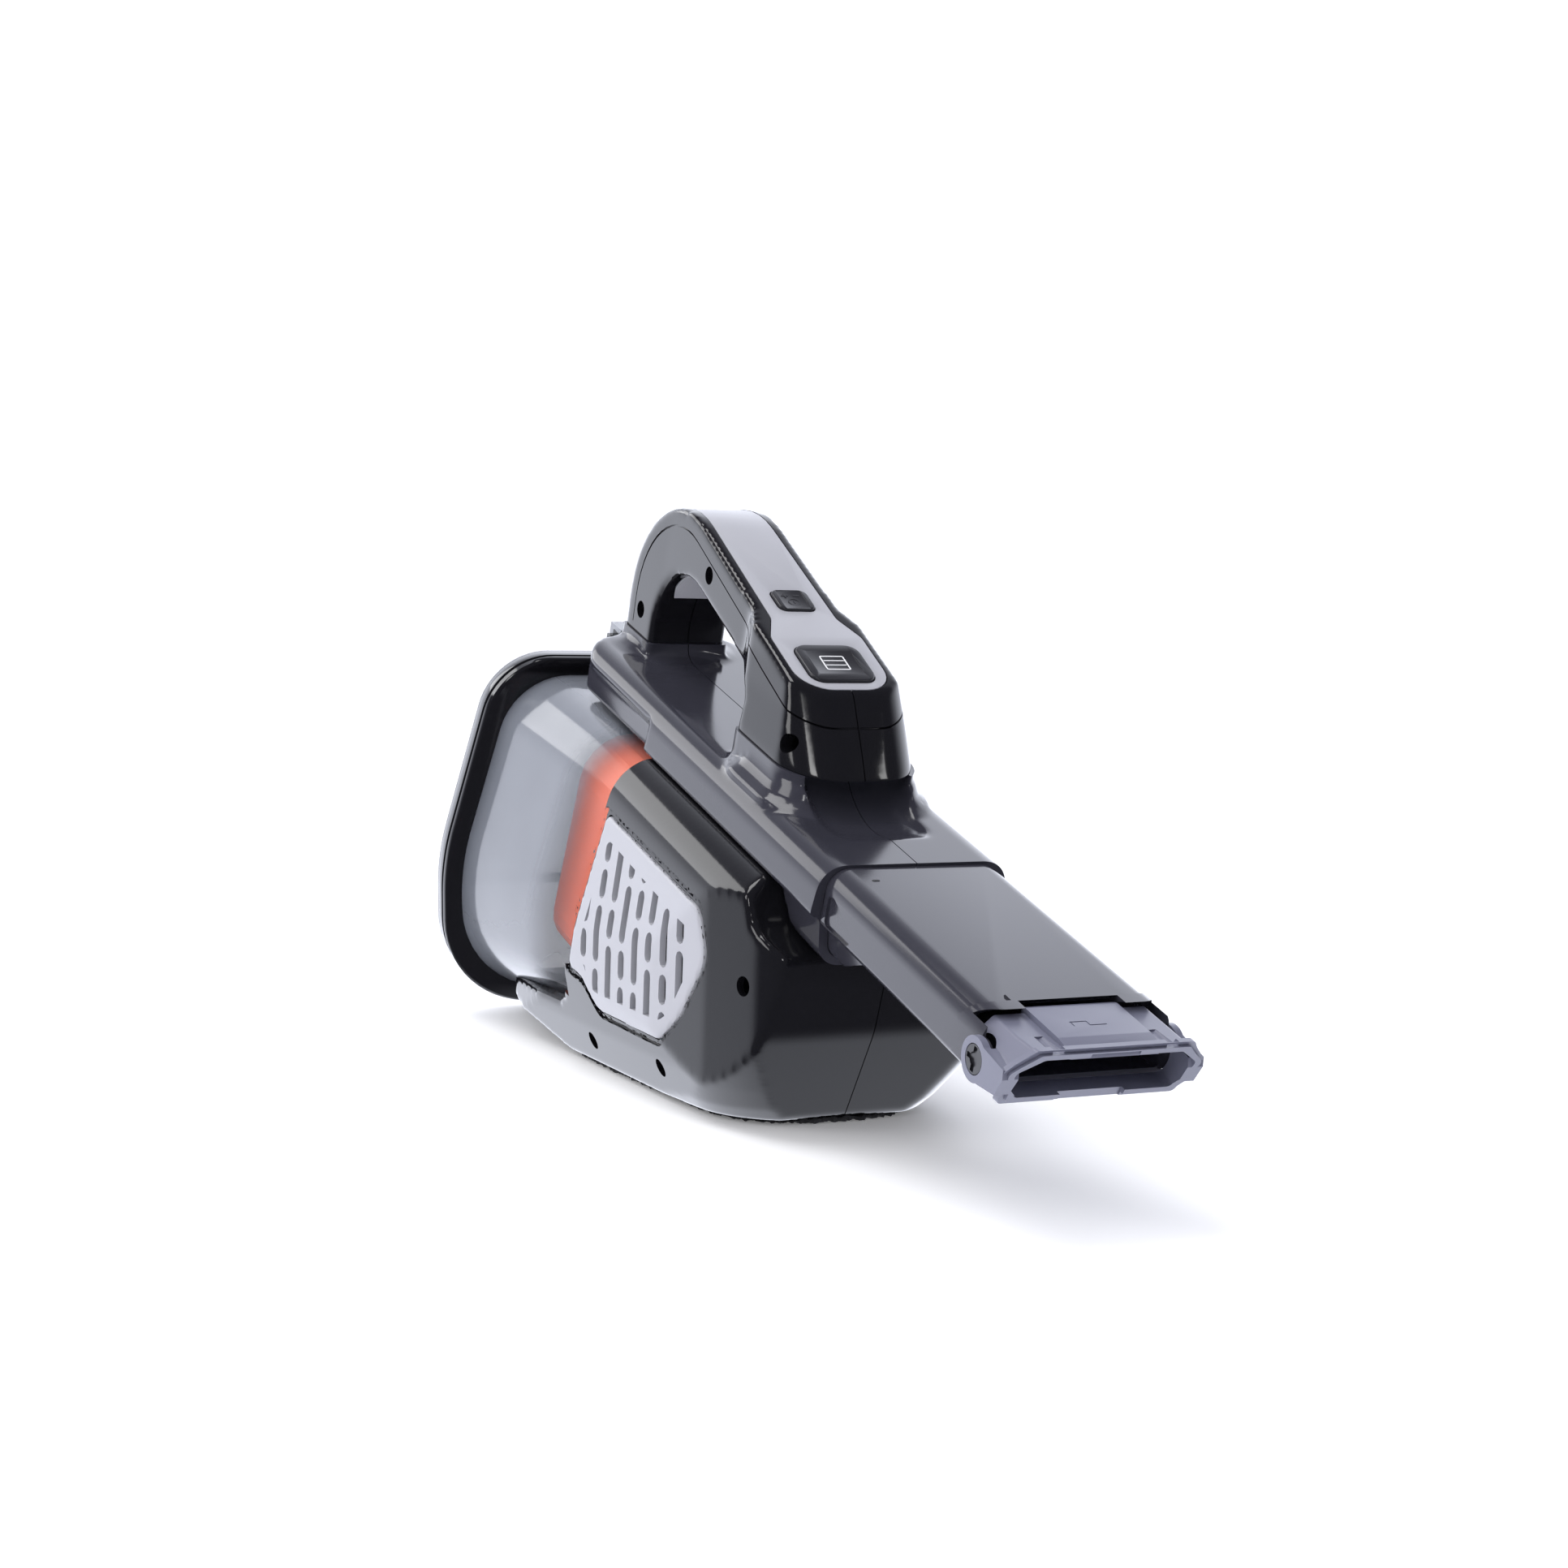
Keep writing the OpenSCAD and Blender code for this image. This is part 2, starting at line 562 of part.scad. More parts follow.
module dust_bowl() color([0.62, 0.65, 0.72, 0.6]) sloped() difference() {
    union() {
        difference() {
            bowl_form(0);
            bowl_form(bowl_wall, -0.05, 1.05);
        }
        for (s = [-1, 1]) translate([s * (flap_half + 4), flap_v, flap_h]) {
            bar_x(3, -1.5, 1.5);
            box_at(-1.5, 1.5, -3, 3, 0, bowl_top - flap_h - 2.6);
        }
    }
    translate([0, flap_v + flap_len / 2 + 1, bowl_top - 12]) rounded_box(2 * flap_half - 2, flap_len - 5,
        14, 4);
    translate([0, flap_v, flap_h]) bar_x(flap_pin_r, -flap_half - 7, flap_half + 7);
}
module inlet_flap() color("#3a3b42") sloped() translate([0, flap_v, flap_h]) difference() {
    union() {
        bar_x(2.4, -flap_half + 1, flap_half - 1);
        translate([0, flap_len / 2 + 1, 0]) rounded_box(2 * flap_half, flap_len, 1.4, 3);
    }
    bar_x(flap_pin_r + running, -far, far);
}
module flap_pin() color("silver") sloped() translate([0, flap_v, flap_h])
    bar_x(flap_pin_r, -flap_half - 5.5, flap_half + 5.5);

module hinge_place() sloped() translate([0, hinge_v, hinge_h]) children();
module bowl_rim() color("#18181b") difference() {
    union() {
        sloped() difference() {
            along_y(rear_outline(0, 8), bowl_end + 0.1, rim_end);
            along_y(rear_outline(10, 8), bowl_end - 1, rim_end + 1);
            difference() {
                along_y(rear_outline(4.4, 8), rim_end - 2.6, rim_end + 1);
                along_y(rear_outline(8.1, 8), rim_end - 3, rim_end + 2);
            }
        }
        hinge_place() for (s = [-1, 1]) translate([s * 18, 0, 0]) {
            bar_x(knuckle_r, -4, 4);
            box_at(-4, 4, -9, -0.5, -knuckle_r, 4);
        }
    }
    hinge_place() bar_x(knuckle_r + moving, -14 + 0.3, 14 - 0.3);
    hinge_place() bar_x(hinge_pin_r, -far, far);
}
module rear_door() color([0.7, 0.73, 0.78, 0.5]) difference() {
    union() {
        sloped() difference() {
            skin([at_v(rear_outline(2), rim_end + 0.5), at_v(rear_outline(2.5), rim_end + 4),
                at_v(rear_outline(14), rim_end + 9)]);
            skin([at_v(rear_outline(5), rim_end - 1), at_v(rear_outline(6), rim_end + 2),
                at_v(rear_outline(16), rim_end + 6.6)]);
        }
        hinge_place() {
            bar_x(knuckle_r, -13.4, 13.4);
            box_at(-13.4, 13.4, 0, 3, 0, 8);
        }
        sloped() {
            box_at(-7, 7, rim_end + 0.8, rim_end + 4, rim_top - 8, latch_h + 7.6);
            box_at(-7, 7, rim_end - 7, rim_end + 4, latch_h + 5.6, latch_h + 7.6);
            box_at(-7, 7, rim_end - 7, rim_end - 4.5, latch_h + 4.4, latch_h + 6);
        }
    }
    hinge_place() for (s = [-1, 1]) translate([s * 18, 0, 0]) bar_x(knuckle_r + moving, -4.3, 4.3);
    hinge_place() bar_x(hinge_pin_r + running, -far, far);
}
module door_seal() color("#0f0f11") sloped() difference() {
    along_y(rear_outline(4.5, 8), rim_end - 2.5, rim_end + 0.3);
    along_y(rear_outline(8, 8), rim_end - 4, rim_end + 1);
}
module door_hinge_pin() color("silver") hinge_place() bar_x(hinge_pin_r, -22, 22);
module door_latch() color("#1a1a1e") sloped() {
    box_at(-latch_half, latch_half, shell_len - 6, rim_end - 0.2, latch_h, latch_h + 2);
    box_at(-latch_half, latch_half, rim_end - 3.4, rim_end - 0.2, latch_h + 1.8, latch_h + 4);
}

// ---- filter ----

function frame_outline(e) = rounded(both([[hull_half - 9 - e, bowl_top - e, 20],
    [hull_half - 4 - e, bowl_low + e, 16]]));
module filter_frame() color("#e2542c") sloped() difference() {
    along_y(frame_outline(bowl_wall + 3.4), bowl_v + 0.4, bowl_v + filter_deep);
    along_y(frame_outline(bowl_wall + 6.4), bowl_v - 1, bowl_v + filter_deep - 3);
    along_y(rounded(both([[hull_half - 22, bowl_top - 16, 14], [hull_half - 18, bowl_low + 18, 14]])),
        bowl_v, far);
}
module filter_pleats() color("#e9e6dd") sloped() {
    pitch = 5.2;
    half = hull_half - 19;
    count = floor(half / pitch);
    top = [for (k = [-count:count]) [k * pitch, bowl_v + (k % 2 == 0 ? 5 : filter_deep - 6)]];
    back = [for (k = [count:-1:-count]) [k * pitch, bowl_v + 1.3 + (k % 2 == 0 ? 5 : filter_deep - 6)]];
    translate([0, 0, bowl_low + 24]) linear_extrude(bowl_top - bowl_low - 46) polygon(concat(top, back));
}
module filter_screen() color("#b8bac2") sloped() difference() {
    along_y(rounded(both([[hull_half - 17, bowl_top - 11, 16], [hull_half - 13, bowl_low + 13, 16]])),
        bowl_v + filter_deep + 0.2, bowl_v + filter_deep + 1.8);
    for (i = [-6:6], j = [-5:5]) translate([i * 5.6, 0, (bowl_top + bowl_low) / 2 + j * 7])
        box_at(-1.8, 1.8, bowl_v, bowl_v + filter_deep + 4, -2.5, 2.5);
}

// ---- motor, fan and battery ----

module on_axis() sloped() translate([0, 0, axis_h]) children();
module motor_can() color("#9aa0a8") on_axis() difference() {
    union() {
        rod_v(motor_r, motor_v, motor_v + motor_len);
        rod_v(6, motor_v - 4, motor_v + motor_len + 3);
    }
    rod_v(shaft_r + running, motor_v - 5, motor_v + motor_len + 4);
    for (a = [0:90:270]) rotate([0, a, 0]) box_at(motor_r - 6, motor_r + 1, motor_v + motor_len - 9,
        motor_v + motor_len - 4, -3, 3);
}
module motor_mounts() color("#1c1c1f") on_axis() for (v = [motor_v + 6, motor_v + motor_len - 18])
    difference() {
    rod_v(motor_r + 5, v, v + 6);
    rod_v(motor_r + seat, v - 1, v + 7);
}
module motor_shaft() color("silver") on_axis() rod_v(shaft_r, motor_v - 6, fan_v + 12);
module fan_impeller() color("#c9ccd2") on_axis() difference() {
    union() {
        rod_v(fan_r, fan_v, fan_v + 1.6);
        rod_v(5, fan_v, fan_v + 11);
        for (a = [0:40:320]) rotate([0, a, 0]) translate([8, 0, 0]) rotate([0, -28, 0])
            box_at(0, fan_r - 11, fan_v + 1, fan_v + 9, -0.8, 0.8);
    }
    rod_v(shaft_r + 0.02, fan_v - 1, fan_v + 13);
}
module fan_shroud() color("#2d2e34") on_axis() difference() {
    rod_v(shroud_r, fan_v - 4.5, bulkhead_v - 0.3);
    rod_v(shroud_r - 2.4, fan_v - 2, bulkhead_v - 2.5);
    rod_v(26, fan_v, bulkhead_v + 1);
    rod_v(10, fan_v - 6, fan_v);
    for (a = [0:30:330]) rotate([0, a, 0]) box_at(shroud_r - 8, shroud_r + 1, fan_v - 1.5, fan_v + 8, -4,
        4);
}
module battery_cells() color("#3f8fc4") for (y = cell_ys) translate([0, y, cell_z]) {
    bar_x(cell_r, -cell_len / 2, cell_len / 2);
    bar_x(2.8, cell_len / 2 - 0.1, cell_len / 2 + 1.2);
}
module battery_tray() color("#232327") difference() {
    box_at(-cell_len / 2 - 4, cell_len / 2 + 4, cell_ys[0] - cell_r, cell_ys[3] + cell_r,
        cell_z - cell_r - tray_t, cell_z - 3);
    for (y = cell_ys) translate([0, y, cell_z]) bar_x(cell_r + seat, -cell_len / 2 - 2, cell_len / 2 + 2);
    translate([0, hull_screws[1][0], hull_screws[1][1]]) bar_x(boss_half + 0.5, -far, far);
}
module power_board() color("#2e6b3f") sloped() {
    box_at(-24, 24, 18, 52, -46, -44.4);
    for (x = [-14, 0, 14]) box_at(x - 4, x + 4, 28, 38, -44.5, -39 - abs(x) / 7);
    translate([8, 46, -44.5]) cylinder(r = 4, h = 9);
}
module charge_socket() color("#0f0f11") translate([0, jack_y, jack_z]) difference() {
    bar_x(jack_r, 36.3, 49);
    bar_x(2.75, 39, 50);
}

top_shell_right();
top_shell_left();
motor_housing_right();
motor_housing_left();
handle_right();
handle_left();
grip_panel();
power_button();
mode_button();
control_board();
button_switches();
nozzle();
nozzle_seal();
flip_tip();
tip_pins();
vent_grille_right();
vent_grille_left();
exhaust_foams();
base_pad();
dust_bowl();
bowl_rim();
rear_door();
door_seal();
door_hinge_pin();
door_latch();
filter_frame();
filter_pleats();
filter_screen();
inlet_flap();
flap_pin();
motor_can();
motor_mounts();
motor_shaft();
fan_impeller();
fan_shroud();
battery_cells();
battery_tray();
power_board();
charge_socket();
housing_screws();
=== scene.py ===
"""Cordless handheld vacuum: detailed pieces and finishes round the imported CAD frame.

Shapes are drawn in millimetres, in the world or in the sloped frame (x, v, h) of the duct,
where v runs rearward along the duct's top and h rises square to it.
"""
import json
import math

import bmesh
import bpy
from mathutils import Matrix, Vector


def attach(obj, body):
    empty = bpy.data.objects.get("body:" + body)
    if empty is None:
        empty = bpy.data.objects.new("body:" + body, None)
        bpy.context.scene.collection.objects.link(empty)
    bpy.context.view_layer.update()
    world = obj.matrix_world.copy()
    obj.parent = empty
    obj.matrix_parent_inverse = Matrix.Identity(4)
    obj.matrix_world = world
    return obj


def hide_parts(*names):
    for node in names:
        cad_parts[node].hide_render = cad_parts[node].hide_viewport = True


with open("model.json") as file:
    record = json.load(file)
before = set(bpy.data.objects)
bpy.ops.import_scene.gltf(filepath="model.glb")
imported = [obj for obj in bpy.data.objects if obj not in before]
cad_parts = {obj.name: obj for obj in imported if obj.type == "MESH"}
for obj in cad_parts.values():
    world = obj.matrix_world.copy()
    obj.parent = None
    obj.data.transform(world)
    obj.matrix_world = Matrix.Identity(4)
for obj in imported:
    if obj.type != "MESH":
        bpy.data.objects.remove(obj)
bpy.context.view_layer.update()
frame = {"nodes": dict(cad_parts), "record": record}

MM = 0.001
SLOPE = math.radians(16.7)
NOSE_Y, NOSE_Z = -120.5, 101
UPRIGHT = Matrix.Identity(4)
SLOPED = Matrix.Translation((0, NOSE_Y, NOSE_Z)) @ Matrix.Rotation(SLOPE, 4, "X")
GRIP_RISE = math.radians(14.3)
GRIP_V, GRIP_H = 65, 38.5
ON_GRIP = SLOPED @ Matrix.Translation((0, GRIP_V, GRIP_H)) @ Matrix.Rotation(GRIP_RISE, 4, "X")
FAR = 300

# Lengths that several pieces share, as in the CAD part
SHELL_HALF, SHELL_DEEP, SHELL_LEN, COLLAR_DEEP = 36.5, 19, 232, 38
POST_V, POST_LONG, POST_H, POST_HALF = 71.5, 28, 11.8, 27
REAR_V, REAR_LONG, REAR_H, REAR_HALF = 218, 13.5, 6.3, 16.8
GRIP_HALF, GRIP_T, GRIP_END, PANEL_T = 18, 22, 235, 1.6
BOWL_V, BOWL_LEN, BOWL_TOP, BOWL_LOW, BOWL_WALL = 145, 105, -20, -124, 2.2
RIM_END, RIM_TOP, RIM_LOW, RIM_HALF = 262, -17.5, -176.5, 73.5
HULL_HALF, WALL = 60, 2.5
BASE_END, BASE_HALF, SOLE_T = 75.5, 46.5, 1.5
TIP_V, TIP_H = -113.5, -14.6
POWER_S, MODE_S = 17.5, 59
KEY_DEEP = 9
LATCH_H = -13.8
FLAP_V, FLAP_H = 195, -27.8
HINGE = (262.5, RIM_LOW - 1.2)
HINGE_BORE = 1.52
SOCKET_Y, SOCKET_Z = 95, 13
CREST_Z = 220.2

# Screw holes in the right half: (y, z, radius) in the housing, (v, h) in the handle
HULL_SCREWS = ((-84, 54, 3.6), (-26, 14, 3.4), (40, 12, 3.4))
HANDLE_SCREWS = ((160, 50), (REAR_V, 16), (62, 20))


# ---- outlines ----

def rounded(corners, steps=8):
    """An outline whose corners (a, b, radius) are turned into arcs."""
    out = []
    for i, (a, b, r) in enumerate(corners):
        c = Vector((a, b))
        if r == 0:
            out.append((a, b))
            continue
        p = (Vector(corners[i - 1][:2]) - c).normalized()
        q = (Vector(corners[(i + 1) % len(corners)][:2]) - c).normalized()
        half = p.angle(q) / 2
        middle = c + (p + q).normalized() * r / math.sin(half)
        start, end = c + p * r / math.tan(half) - middle, c + q * r / math.tan(half) - middle
        a0 = math.atan2(start.y, start.x)
        turn = (math.atan2(end.y, end.x) - a0 + 3 * math.pi) % (2 * math.pi) - math.pi
        for k in range(steps + 1):
            t = a0 + turn * k / steps
            out.append((middle.x + r * math.cos(t), middle.y + r * math.sin(t)))
    return out


def both(half):
    """Corners of a shape that is the same on both sides, from its right half."""
    return half + [(-a, b, r) for a, b, r in reversed(half)]


def level(v, h):
    """A point of the sloped frame as the world's (y, z)."""
    return (NOSE_Y + v * math.cos(SLOPE) - h * math.sin(SLOPE),
            NOSE_Z + v * math.sin(SLOPE) + h * math.cos(SLOPE))


def level_corner(v, h, r):
    return (*level(v, h), r)


def front_outline(e, steps=10):
    return rounded(both([(HULL_HALF - 10 - e, BOWL_TOP - e, 20), (HULL_HALF - e, -90, 90),
                         (HULL_HALF - 5 - e, BOWL_LOW + e, 16)]), steps)


def rear_outline(e, steps=10):
    return rounded(both([(RIM_HALF - 13 - e, RIM_TOP - e, 28), (RIM_HALF - e, RIM_TOP - 92, 110),
                         (RIM_HALF - 9 - e, RIM_LOW + e, 46)]), steps)


def bowl_ring(t, e):
    v = BOWL_V + BOWL_LEN * t
    return [(a[0] + (b[0] - a[0]) * t, v, a[1] + (b[1] - a[1]) * t)
            for a, b in zip(front_outline(e), rear_outline(7 + e))]


def at_v(outline, v):
    return [(a, v, b) for a, b in outline]


def pill(a, b, half, long, lean=0.0, steps=4):
    """A slot with round ends, centred at (a, b), its long side turned by lean."""
    out = []
    for end in (1, -1):
        for k in range(steps + 1):
            t = math.pi * k / steps
            x, y = half * math.cos(t) * end, (long - half + half * math.sin(t)) * end
            out.append((a + x * math.cos(lean) - y * math.sin(lean),
                        b + x * math.sin(lean) + y * math.cos(lean)))
    return out


# ---- solids ----

def solo(obj):
    bpy.ops.object.select_all(action="DESELECT")
    obj.select_set(True)
    bpy.context.view_layer.objects.active = obj


def loft(rings):
    """A closed solid through rings of points: a disc set on the first and extruded to the rest."""
    rings = [[Vector(p) for p in ring] for ring in rings]
    bpy.ops.object.select_all(action="DESELECT")
    bpy.ops.mesh.primitive_circle_add(vertices=len(rings[0]), radius=1, fill_type="NGON")
    obj = bpy.context.object
    for vertex, place in zip(obj.data.vertices, rings[0]):
        vertex.co = place
    bpy.ops.object.mode_set(mode="EDIT")
    bpy.ops.mesh.select_all(action="SELECT")
    for before, after in zip(rings, rings[1:]):
        target = {tuple(p): q for p, q in zip(before, after)}
        bpy.ops.mesh.extrude_region_move(TRANSFORM_OT_translate={"value": (0, 0, 0)})
        mesh = bmesh.from_edit_mesh(obj.data)
        for vertex in mesh.verts:
            if vertex.select:
                vertex.co = target[tuple(vertex.co)]
        bmesh.update_edit_mesh(obj.data)
    bpy.ops.mesh.select_all(action="SELECT")
    bpy.ops.mesh.normals_make_consistent(inside=False)
    bpy.ops.object.mode_set(mode="OBJECT")
    return obj


def prism(outline, low, high, axis):
    """An outline carried along x, v (or y) or h (or z)."""
    spots = {"x": lambda a, b, t: (t, a, b), "v": lambda a, b, t: (a, t, b),
             "h": lambda a, b, t: (a, b, t)}[axis]
    return loft([[spots(a, b, t) for a, b in outline] for t in (low, high)])


def block(x0, x1, y0, y1, z0, z1):
    return prism([(x0, y0), (x1, y0), (x1, y1), (x0, y1)], z0, z1, "h")


def rounded_plate(half_x, half_y, radius, low, high, centre=(0, 0), axis="h"):
    a, b = centre
    corners = [(a + half_x, b - half_y, radius), (a + half_x, b + half_y, radius),
               (a - half_x, b + half_y, radius), (a - half_x, b - half_y, radius)]
    return prism(rounded(corners), low, high, axis)


def rod(radius, low, high, centre=(0, 0), axis="x", sides=40):
    a, b = centre
    ring = [(a + radius * math.cos(2 * math.pi * k / sides),
             b + radius * math.sin(2 * math.pi * k / sides)) for k in range(sides)]
    return prism(ring, low, high, axis)


def apply(obj, kind, **settings):
    solo(obj)
    modifier = obj.modifiers.new(kind.lower(), kind)
    for key, value in settings.items():
        setattr(modifier, key, value)
    bpy.ops.object.modifier_apply(modifier=modifier.name)
    return obj


def combine(obj, tool, operation, keep=False):
    apply(obj, "BOOLEAN", operation=operation, object=tool, solver="MANIFOLD")
    if not keep:
        bpy.data.objects.remove(tool)
    return obj


def cut(obj, *tools):
    for tool in tools:
        combine(obj, tool, "DIFFERENCE")
    return obj


def add(obj, *tools):
    for tool in tools:
        combine(obj, tool, "UNION")
    return obj


def common(obj, *tools):
    for tool in tools:
        combine(obj, tool, "INTERSECT")
    return obj


def copy_of(obj):
    twin = obj.copy()
    twin.data = obj.data.copy()
    bpy.context.collection.objects.link(twin)
    return twin


def moved(obj, matrix):
    obj.data.transform(matrix)
    return obj


def soften(obj, voxel, rounds):
    """Rounds every edge of a solid by an even remesh and smoothing."""
    apply(obj, "REMESH", mode="VOXEL", voxel_size=voxel)
    return apply(obj, "SMOOTH", factor=0.5, iterations=rounds)


def eased(obj, width, segments=3, angle=35):
    """Bevels the sharp edges of a plain solid."""
    return apply(obj, "BEVEL", width=width, segments=segments, limit_method="ANGLE",
                 angle_limit=math.radians(angle), use_clamp_overlap=True)


def joined(objects):
    bpy.ops.object.select_all(action="DESELECT")
    for obj in objects:
        obj.select_set(True)
    bpy.context.view_layer.objects.active = objects[0]
    bpy.ops.object.join()
    return objects[0]


def fitted(obj, name, body, material, place=SLOPED, nodes=(), smooth=32):
    """Puts a drawn piece in its place in the world and gives it its name, body and finish."""
    solo(obj)
    bpy.ops.object.mode_set(mode="EDIT")
    bpy.ops.mesh.select_all(action="SELECT")
    bpy.ops.mesh.remove_doubles(threshold=0.0005)
    bpy.ops.object.mode_set(mode="OBJECT")
    obj.data.transform(Matrix.Scale(MM, 4) @ place)
    bpy.ops.object.shade_smooth_by_angle(angle=math.radians(smooth))
    obj.name = name
    obj.data.name = name
    obj.data.materials.clear()
    obj.data.materials.append(material)
    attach(obj, body)
    if nodes:
        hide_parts(*nodes)
    return obj


def split_halves(solid, stem, material, place, gap=0.2):
    """The right and left halves of a shell, parted on the middle plane."""
    for side, suffix in ((-1, "right"), (1, "left")):
        half = common(copy_of(solid), block(*sorted((side * gap, side * FAR)), -FAR, FAR, -FAR, FAR))
        fitted(half, f"{stem}_{suffix}_shell", "root", material, place, [f"{stem}_{suffix}"])
    bpy.data.objects.remove(solid)


# ---- shader maths ----

class Wire:
    """A shader socket that can be used in sums; numbers alone are worked out in Python."""

    def __init__(self, paint, socket):
        self.paint, self.socket = paint, socket

    def math(self, operation, *values):
        return self.paint.node("ShaderNodeMath", {"operation": operation}, dict(enumerate(values)))

    def __add__(self, other):
        return self.math("ADD", self, other)

    def __mul__(self, other):
        return self.math("MULTIPLY", self, other)

    def __sub__(self, other):
        return self.math("SUBTRACT", self, other)

    def __rsub__(self, other):
        return self.math("SUBTRACT", other, self)

    __radd__, __rmul__ = __add__, __mul__

    def above(self, edge, width):
        """0 below the edge, 1 above it, with a soft step."""
        return self.paint.node("ShaderNodeMapRange", {"interpolation_type": "SMOOTHSTEP"},
                               {"Value": self, "From Min": edge - width, "From Max": edge + width})


class Paint:
    """A material under construction: its nodes, its surface shader and its object coordinates."""

    def __init__(self, name, **constants):
        self.material = bpy.data.materials.new(name)
        self.material.use_nodes = True
        self.tree = self.material.node_tree
        self.shader = self.tree.nodes["Principled BSDF"]
        for key, value in constants.items():
            self.shader.inputs[key.replace("_", " ")].default_value = value
        self.place = self.node("ShaderNodeTexCoord", {}, {}, "Object")

    def node(self, kind, settings, inputs, output=0):
        made = self.tree.nodes.new(kind)
        for key, value in settings.items():
            setattr(made, key, value)
        for key, value in inputs.items():
            if isinstance(value, Wire):
                self.tree.links.new(value.socket, made.inputs[key])
            else:
                made.inputs[key].default_value = value
        return Wire(self, made.outputs[output])

    def noise(self, scale, detail=3.0, stretch=None):
        where = self.place
        if stretch:
            where = self.node("ShaderNodeMapping", {}, {"Vector": where, "Scale": stretch})
        return self.node("ShaderNodeTexNoise", {}, {"Vector": where, "Scale": scale, "Detail": detail})

    def mix(self, factor, first, second):
        made = self.tree.nodes.new("ShaderNodeMix")
        made.data_type = "RGBA"
        for socket, value in ((made.inputs[0], factor), (made.inputs[6], first), (made.inputs[7], second)):
            if isinstance(value, Wire):
                self.tree.links.new(value.socket, socket)
            else:
                socket.default_value = value
        return Wire(self, made.outputs[2])

    def feed(self, **inputs):
        for key, wire in inputs.items():
            self.tree.links.new(wire.socket, self.shader.inputs[key.replace("_", " ")])
        return self

    def bump(self, height, strength, distance):
        return self.feed(Normal=self.node(
            "ShaderNodeBump", {}, {"Height": height, "Strength": strength, "Distance": distance}))


def moulded(name, colour, rough, coat=0.0, grain=1400, relief=0.00001, wear=0.04):
    """Moulded plastic: faint handling marks in its gloss, a touch of dust and a fine grain."""
    paint = Paint(name, Coat_Weight=coat, Coat_Roughness=0.06, IOR=1.5)
    marks = paint.noise(34, 5) * 0.6 + paint.noise(160, 2) * 0.4
    dust = paint.noise(2600, 2).above(0.68, 0.04) * paint.noise(22, 2).above(0.5, 0.2)
    pale = tuple(min(1, c * 1.1 + 0.004) for c in colour[:3]) + (1,)
    paint.feed(Base_Color=paint.mix(marks * 0.5 + dust * 0.35, colour, pale))
    paint.feed(Roughness=marks * (2 * wear) + (rough - wear) + dust * 0.12)
    paint.bump(paint.noise(grain, 2), 0.35, relief)
    return paint.material


def clear_plastic(name, colour, thin, edge, rough, clear_to):
    """Smoked clear plastic: clearest in front of clear_to, hazier behind it and along its wall."""
    paint = Paint(name, IOR=1.49, Coat_Weight=0.4, Coat_Roughness=0.03)
    facing = paint.node("ShaderNodeLayerWeight", {}, {"Blend": 0.35}, "Facing")
    haze = paint.noise(18, 4)
    along = paint.node("ShaderNodeVectorMath", {"operation": "DOT_PRODUCT"},
                       {0: paint.place, 1: (0, math.cos(SLOPE), math.sin(SLOPE))}, "Value")
    milky = along.above(clear_to, 0.015)
    paint.feed(Base_Color=paint.mix(haze, colour, tuple(c * 1.2 for c in colour[:3]) + (1,)),
               Alpha=(facing * (edge - thin) + thin + (haze - 0.5) * 0.08) * (milky * 0.86 + 0.14),
               Roughness=haze * 0.08 + (rough - 0.04))
    paint.bump(paint.noise(60, 2), 0.15, 0.0001)
    return paint.material


def metal(name, colour, rough, stretch):
    paint = Paint(name, Metallic=1.0)
    lines = paint.noise(900, 3, stretch)
    paint.feed(Base_Color=paint.mix(lines, colour, tuple(c * 0.8 for c in colour[:3]) + (1,)),
               Roughness=lines * 0.2 + (rough - 0.1))
    paint.bump(lines, 0.3, 0.00003)
    return paint.material


def fibrous(name, colour, light, scale, relief, stretch=None):
    """Foam, cloth or a napped pad: coarse relief, no gloss."""
    paint = Paint(name)
    paint.shader.inputs["Specular IOR Level"].default_value = 0.2
    tufts = paint.noise(scale, 5, stretch)
    cells = paint.node("ShaderNodeTexVoronoi", {}, {"Vector": paint.place, "Scale": scale * 0.8})
    paint.feed(Base_Color=paint.mix(tufts * 0.7 + cells * 0.3, colour, light), Roughness=tufts * 0.15 + 0.8)
    paint.bump(tufts + cells * 0.7, 0.9, relief)
    return paint.material


BLACK = moulded("gloss_black", (0.0045, 0.0045, 0.006, 1), 0.09)
CHARCOAL = moulded("gloss_charcoal", (0.032, 0.032, 0.043, 1), 0.13)
PALE = moulded("pale_grey", (0.42, 0.425, 0.465, 1), 0.36)
MID = moulded("mid_grey", (0.16, 0.165, 0.225, 1), 0.34)
BUTTON = moulded("button_dark", (0.016, 0.016, 0.02, 1), 0.3)
SOFT = moulded("soft_black", (0.014, 0.014, 0.016, 1), 0.5, grain=2200, relief=0.00004)
ORANGE = moulded("orange_plastic", (0.9, 0.16, 0.06, 1), 0.34)
PRINT = moulded("white_print", (0.85, 0.86, 0.88, 1), 0.45)
FAN = moulded("fan_plastic", (0.55, 0.57, 0.6, 1), 0.4)
BOARD = moulded("board_green", (0.02, 0.16, 0.06, 1), 0.35, coat=0.2)
WRAP = moulded("cell_wrap", (0.05, 0.28, 0.5, 1), 0.25, coat=0.3)
SMOKED = clear_plastic("smoked_clear", (0.2, 0.215, 0.25, 1), 0.6, 0.86, 0.12, 0.09)
STEEL = metal("steel", (0.62, 0.63, 0.65, 1), 0.28, (1, 1, 8))
CAN = metal("can_steel", (0.5, 0.51, 0.54, 1), 0.35, (6, 1, 1))
FOAM = fibrous("foam_black", (0.012, 0.012, 0.013, 1), (0.05, 0.05, 0.055, 1), 900, 0.0006)
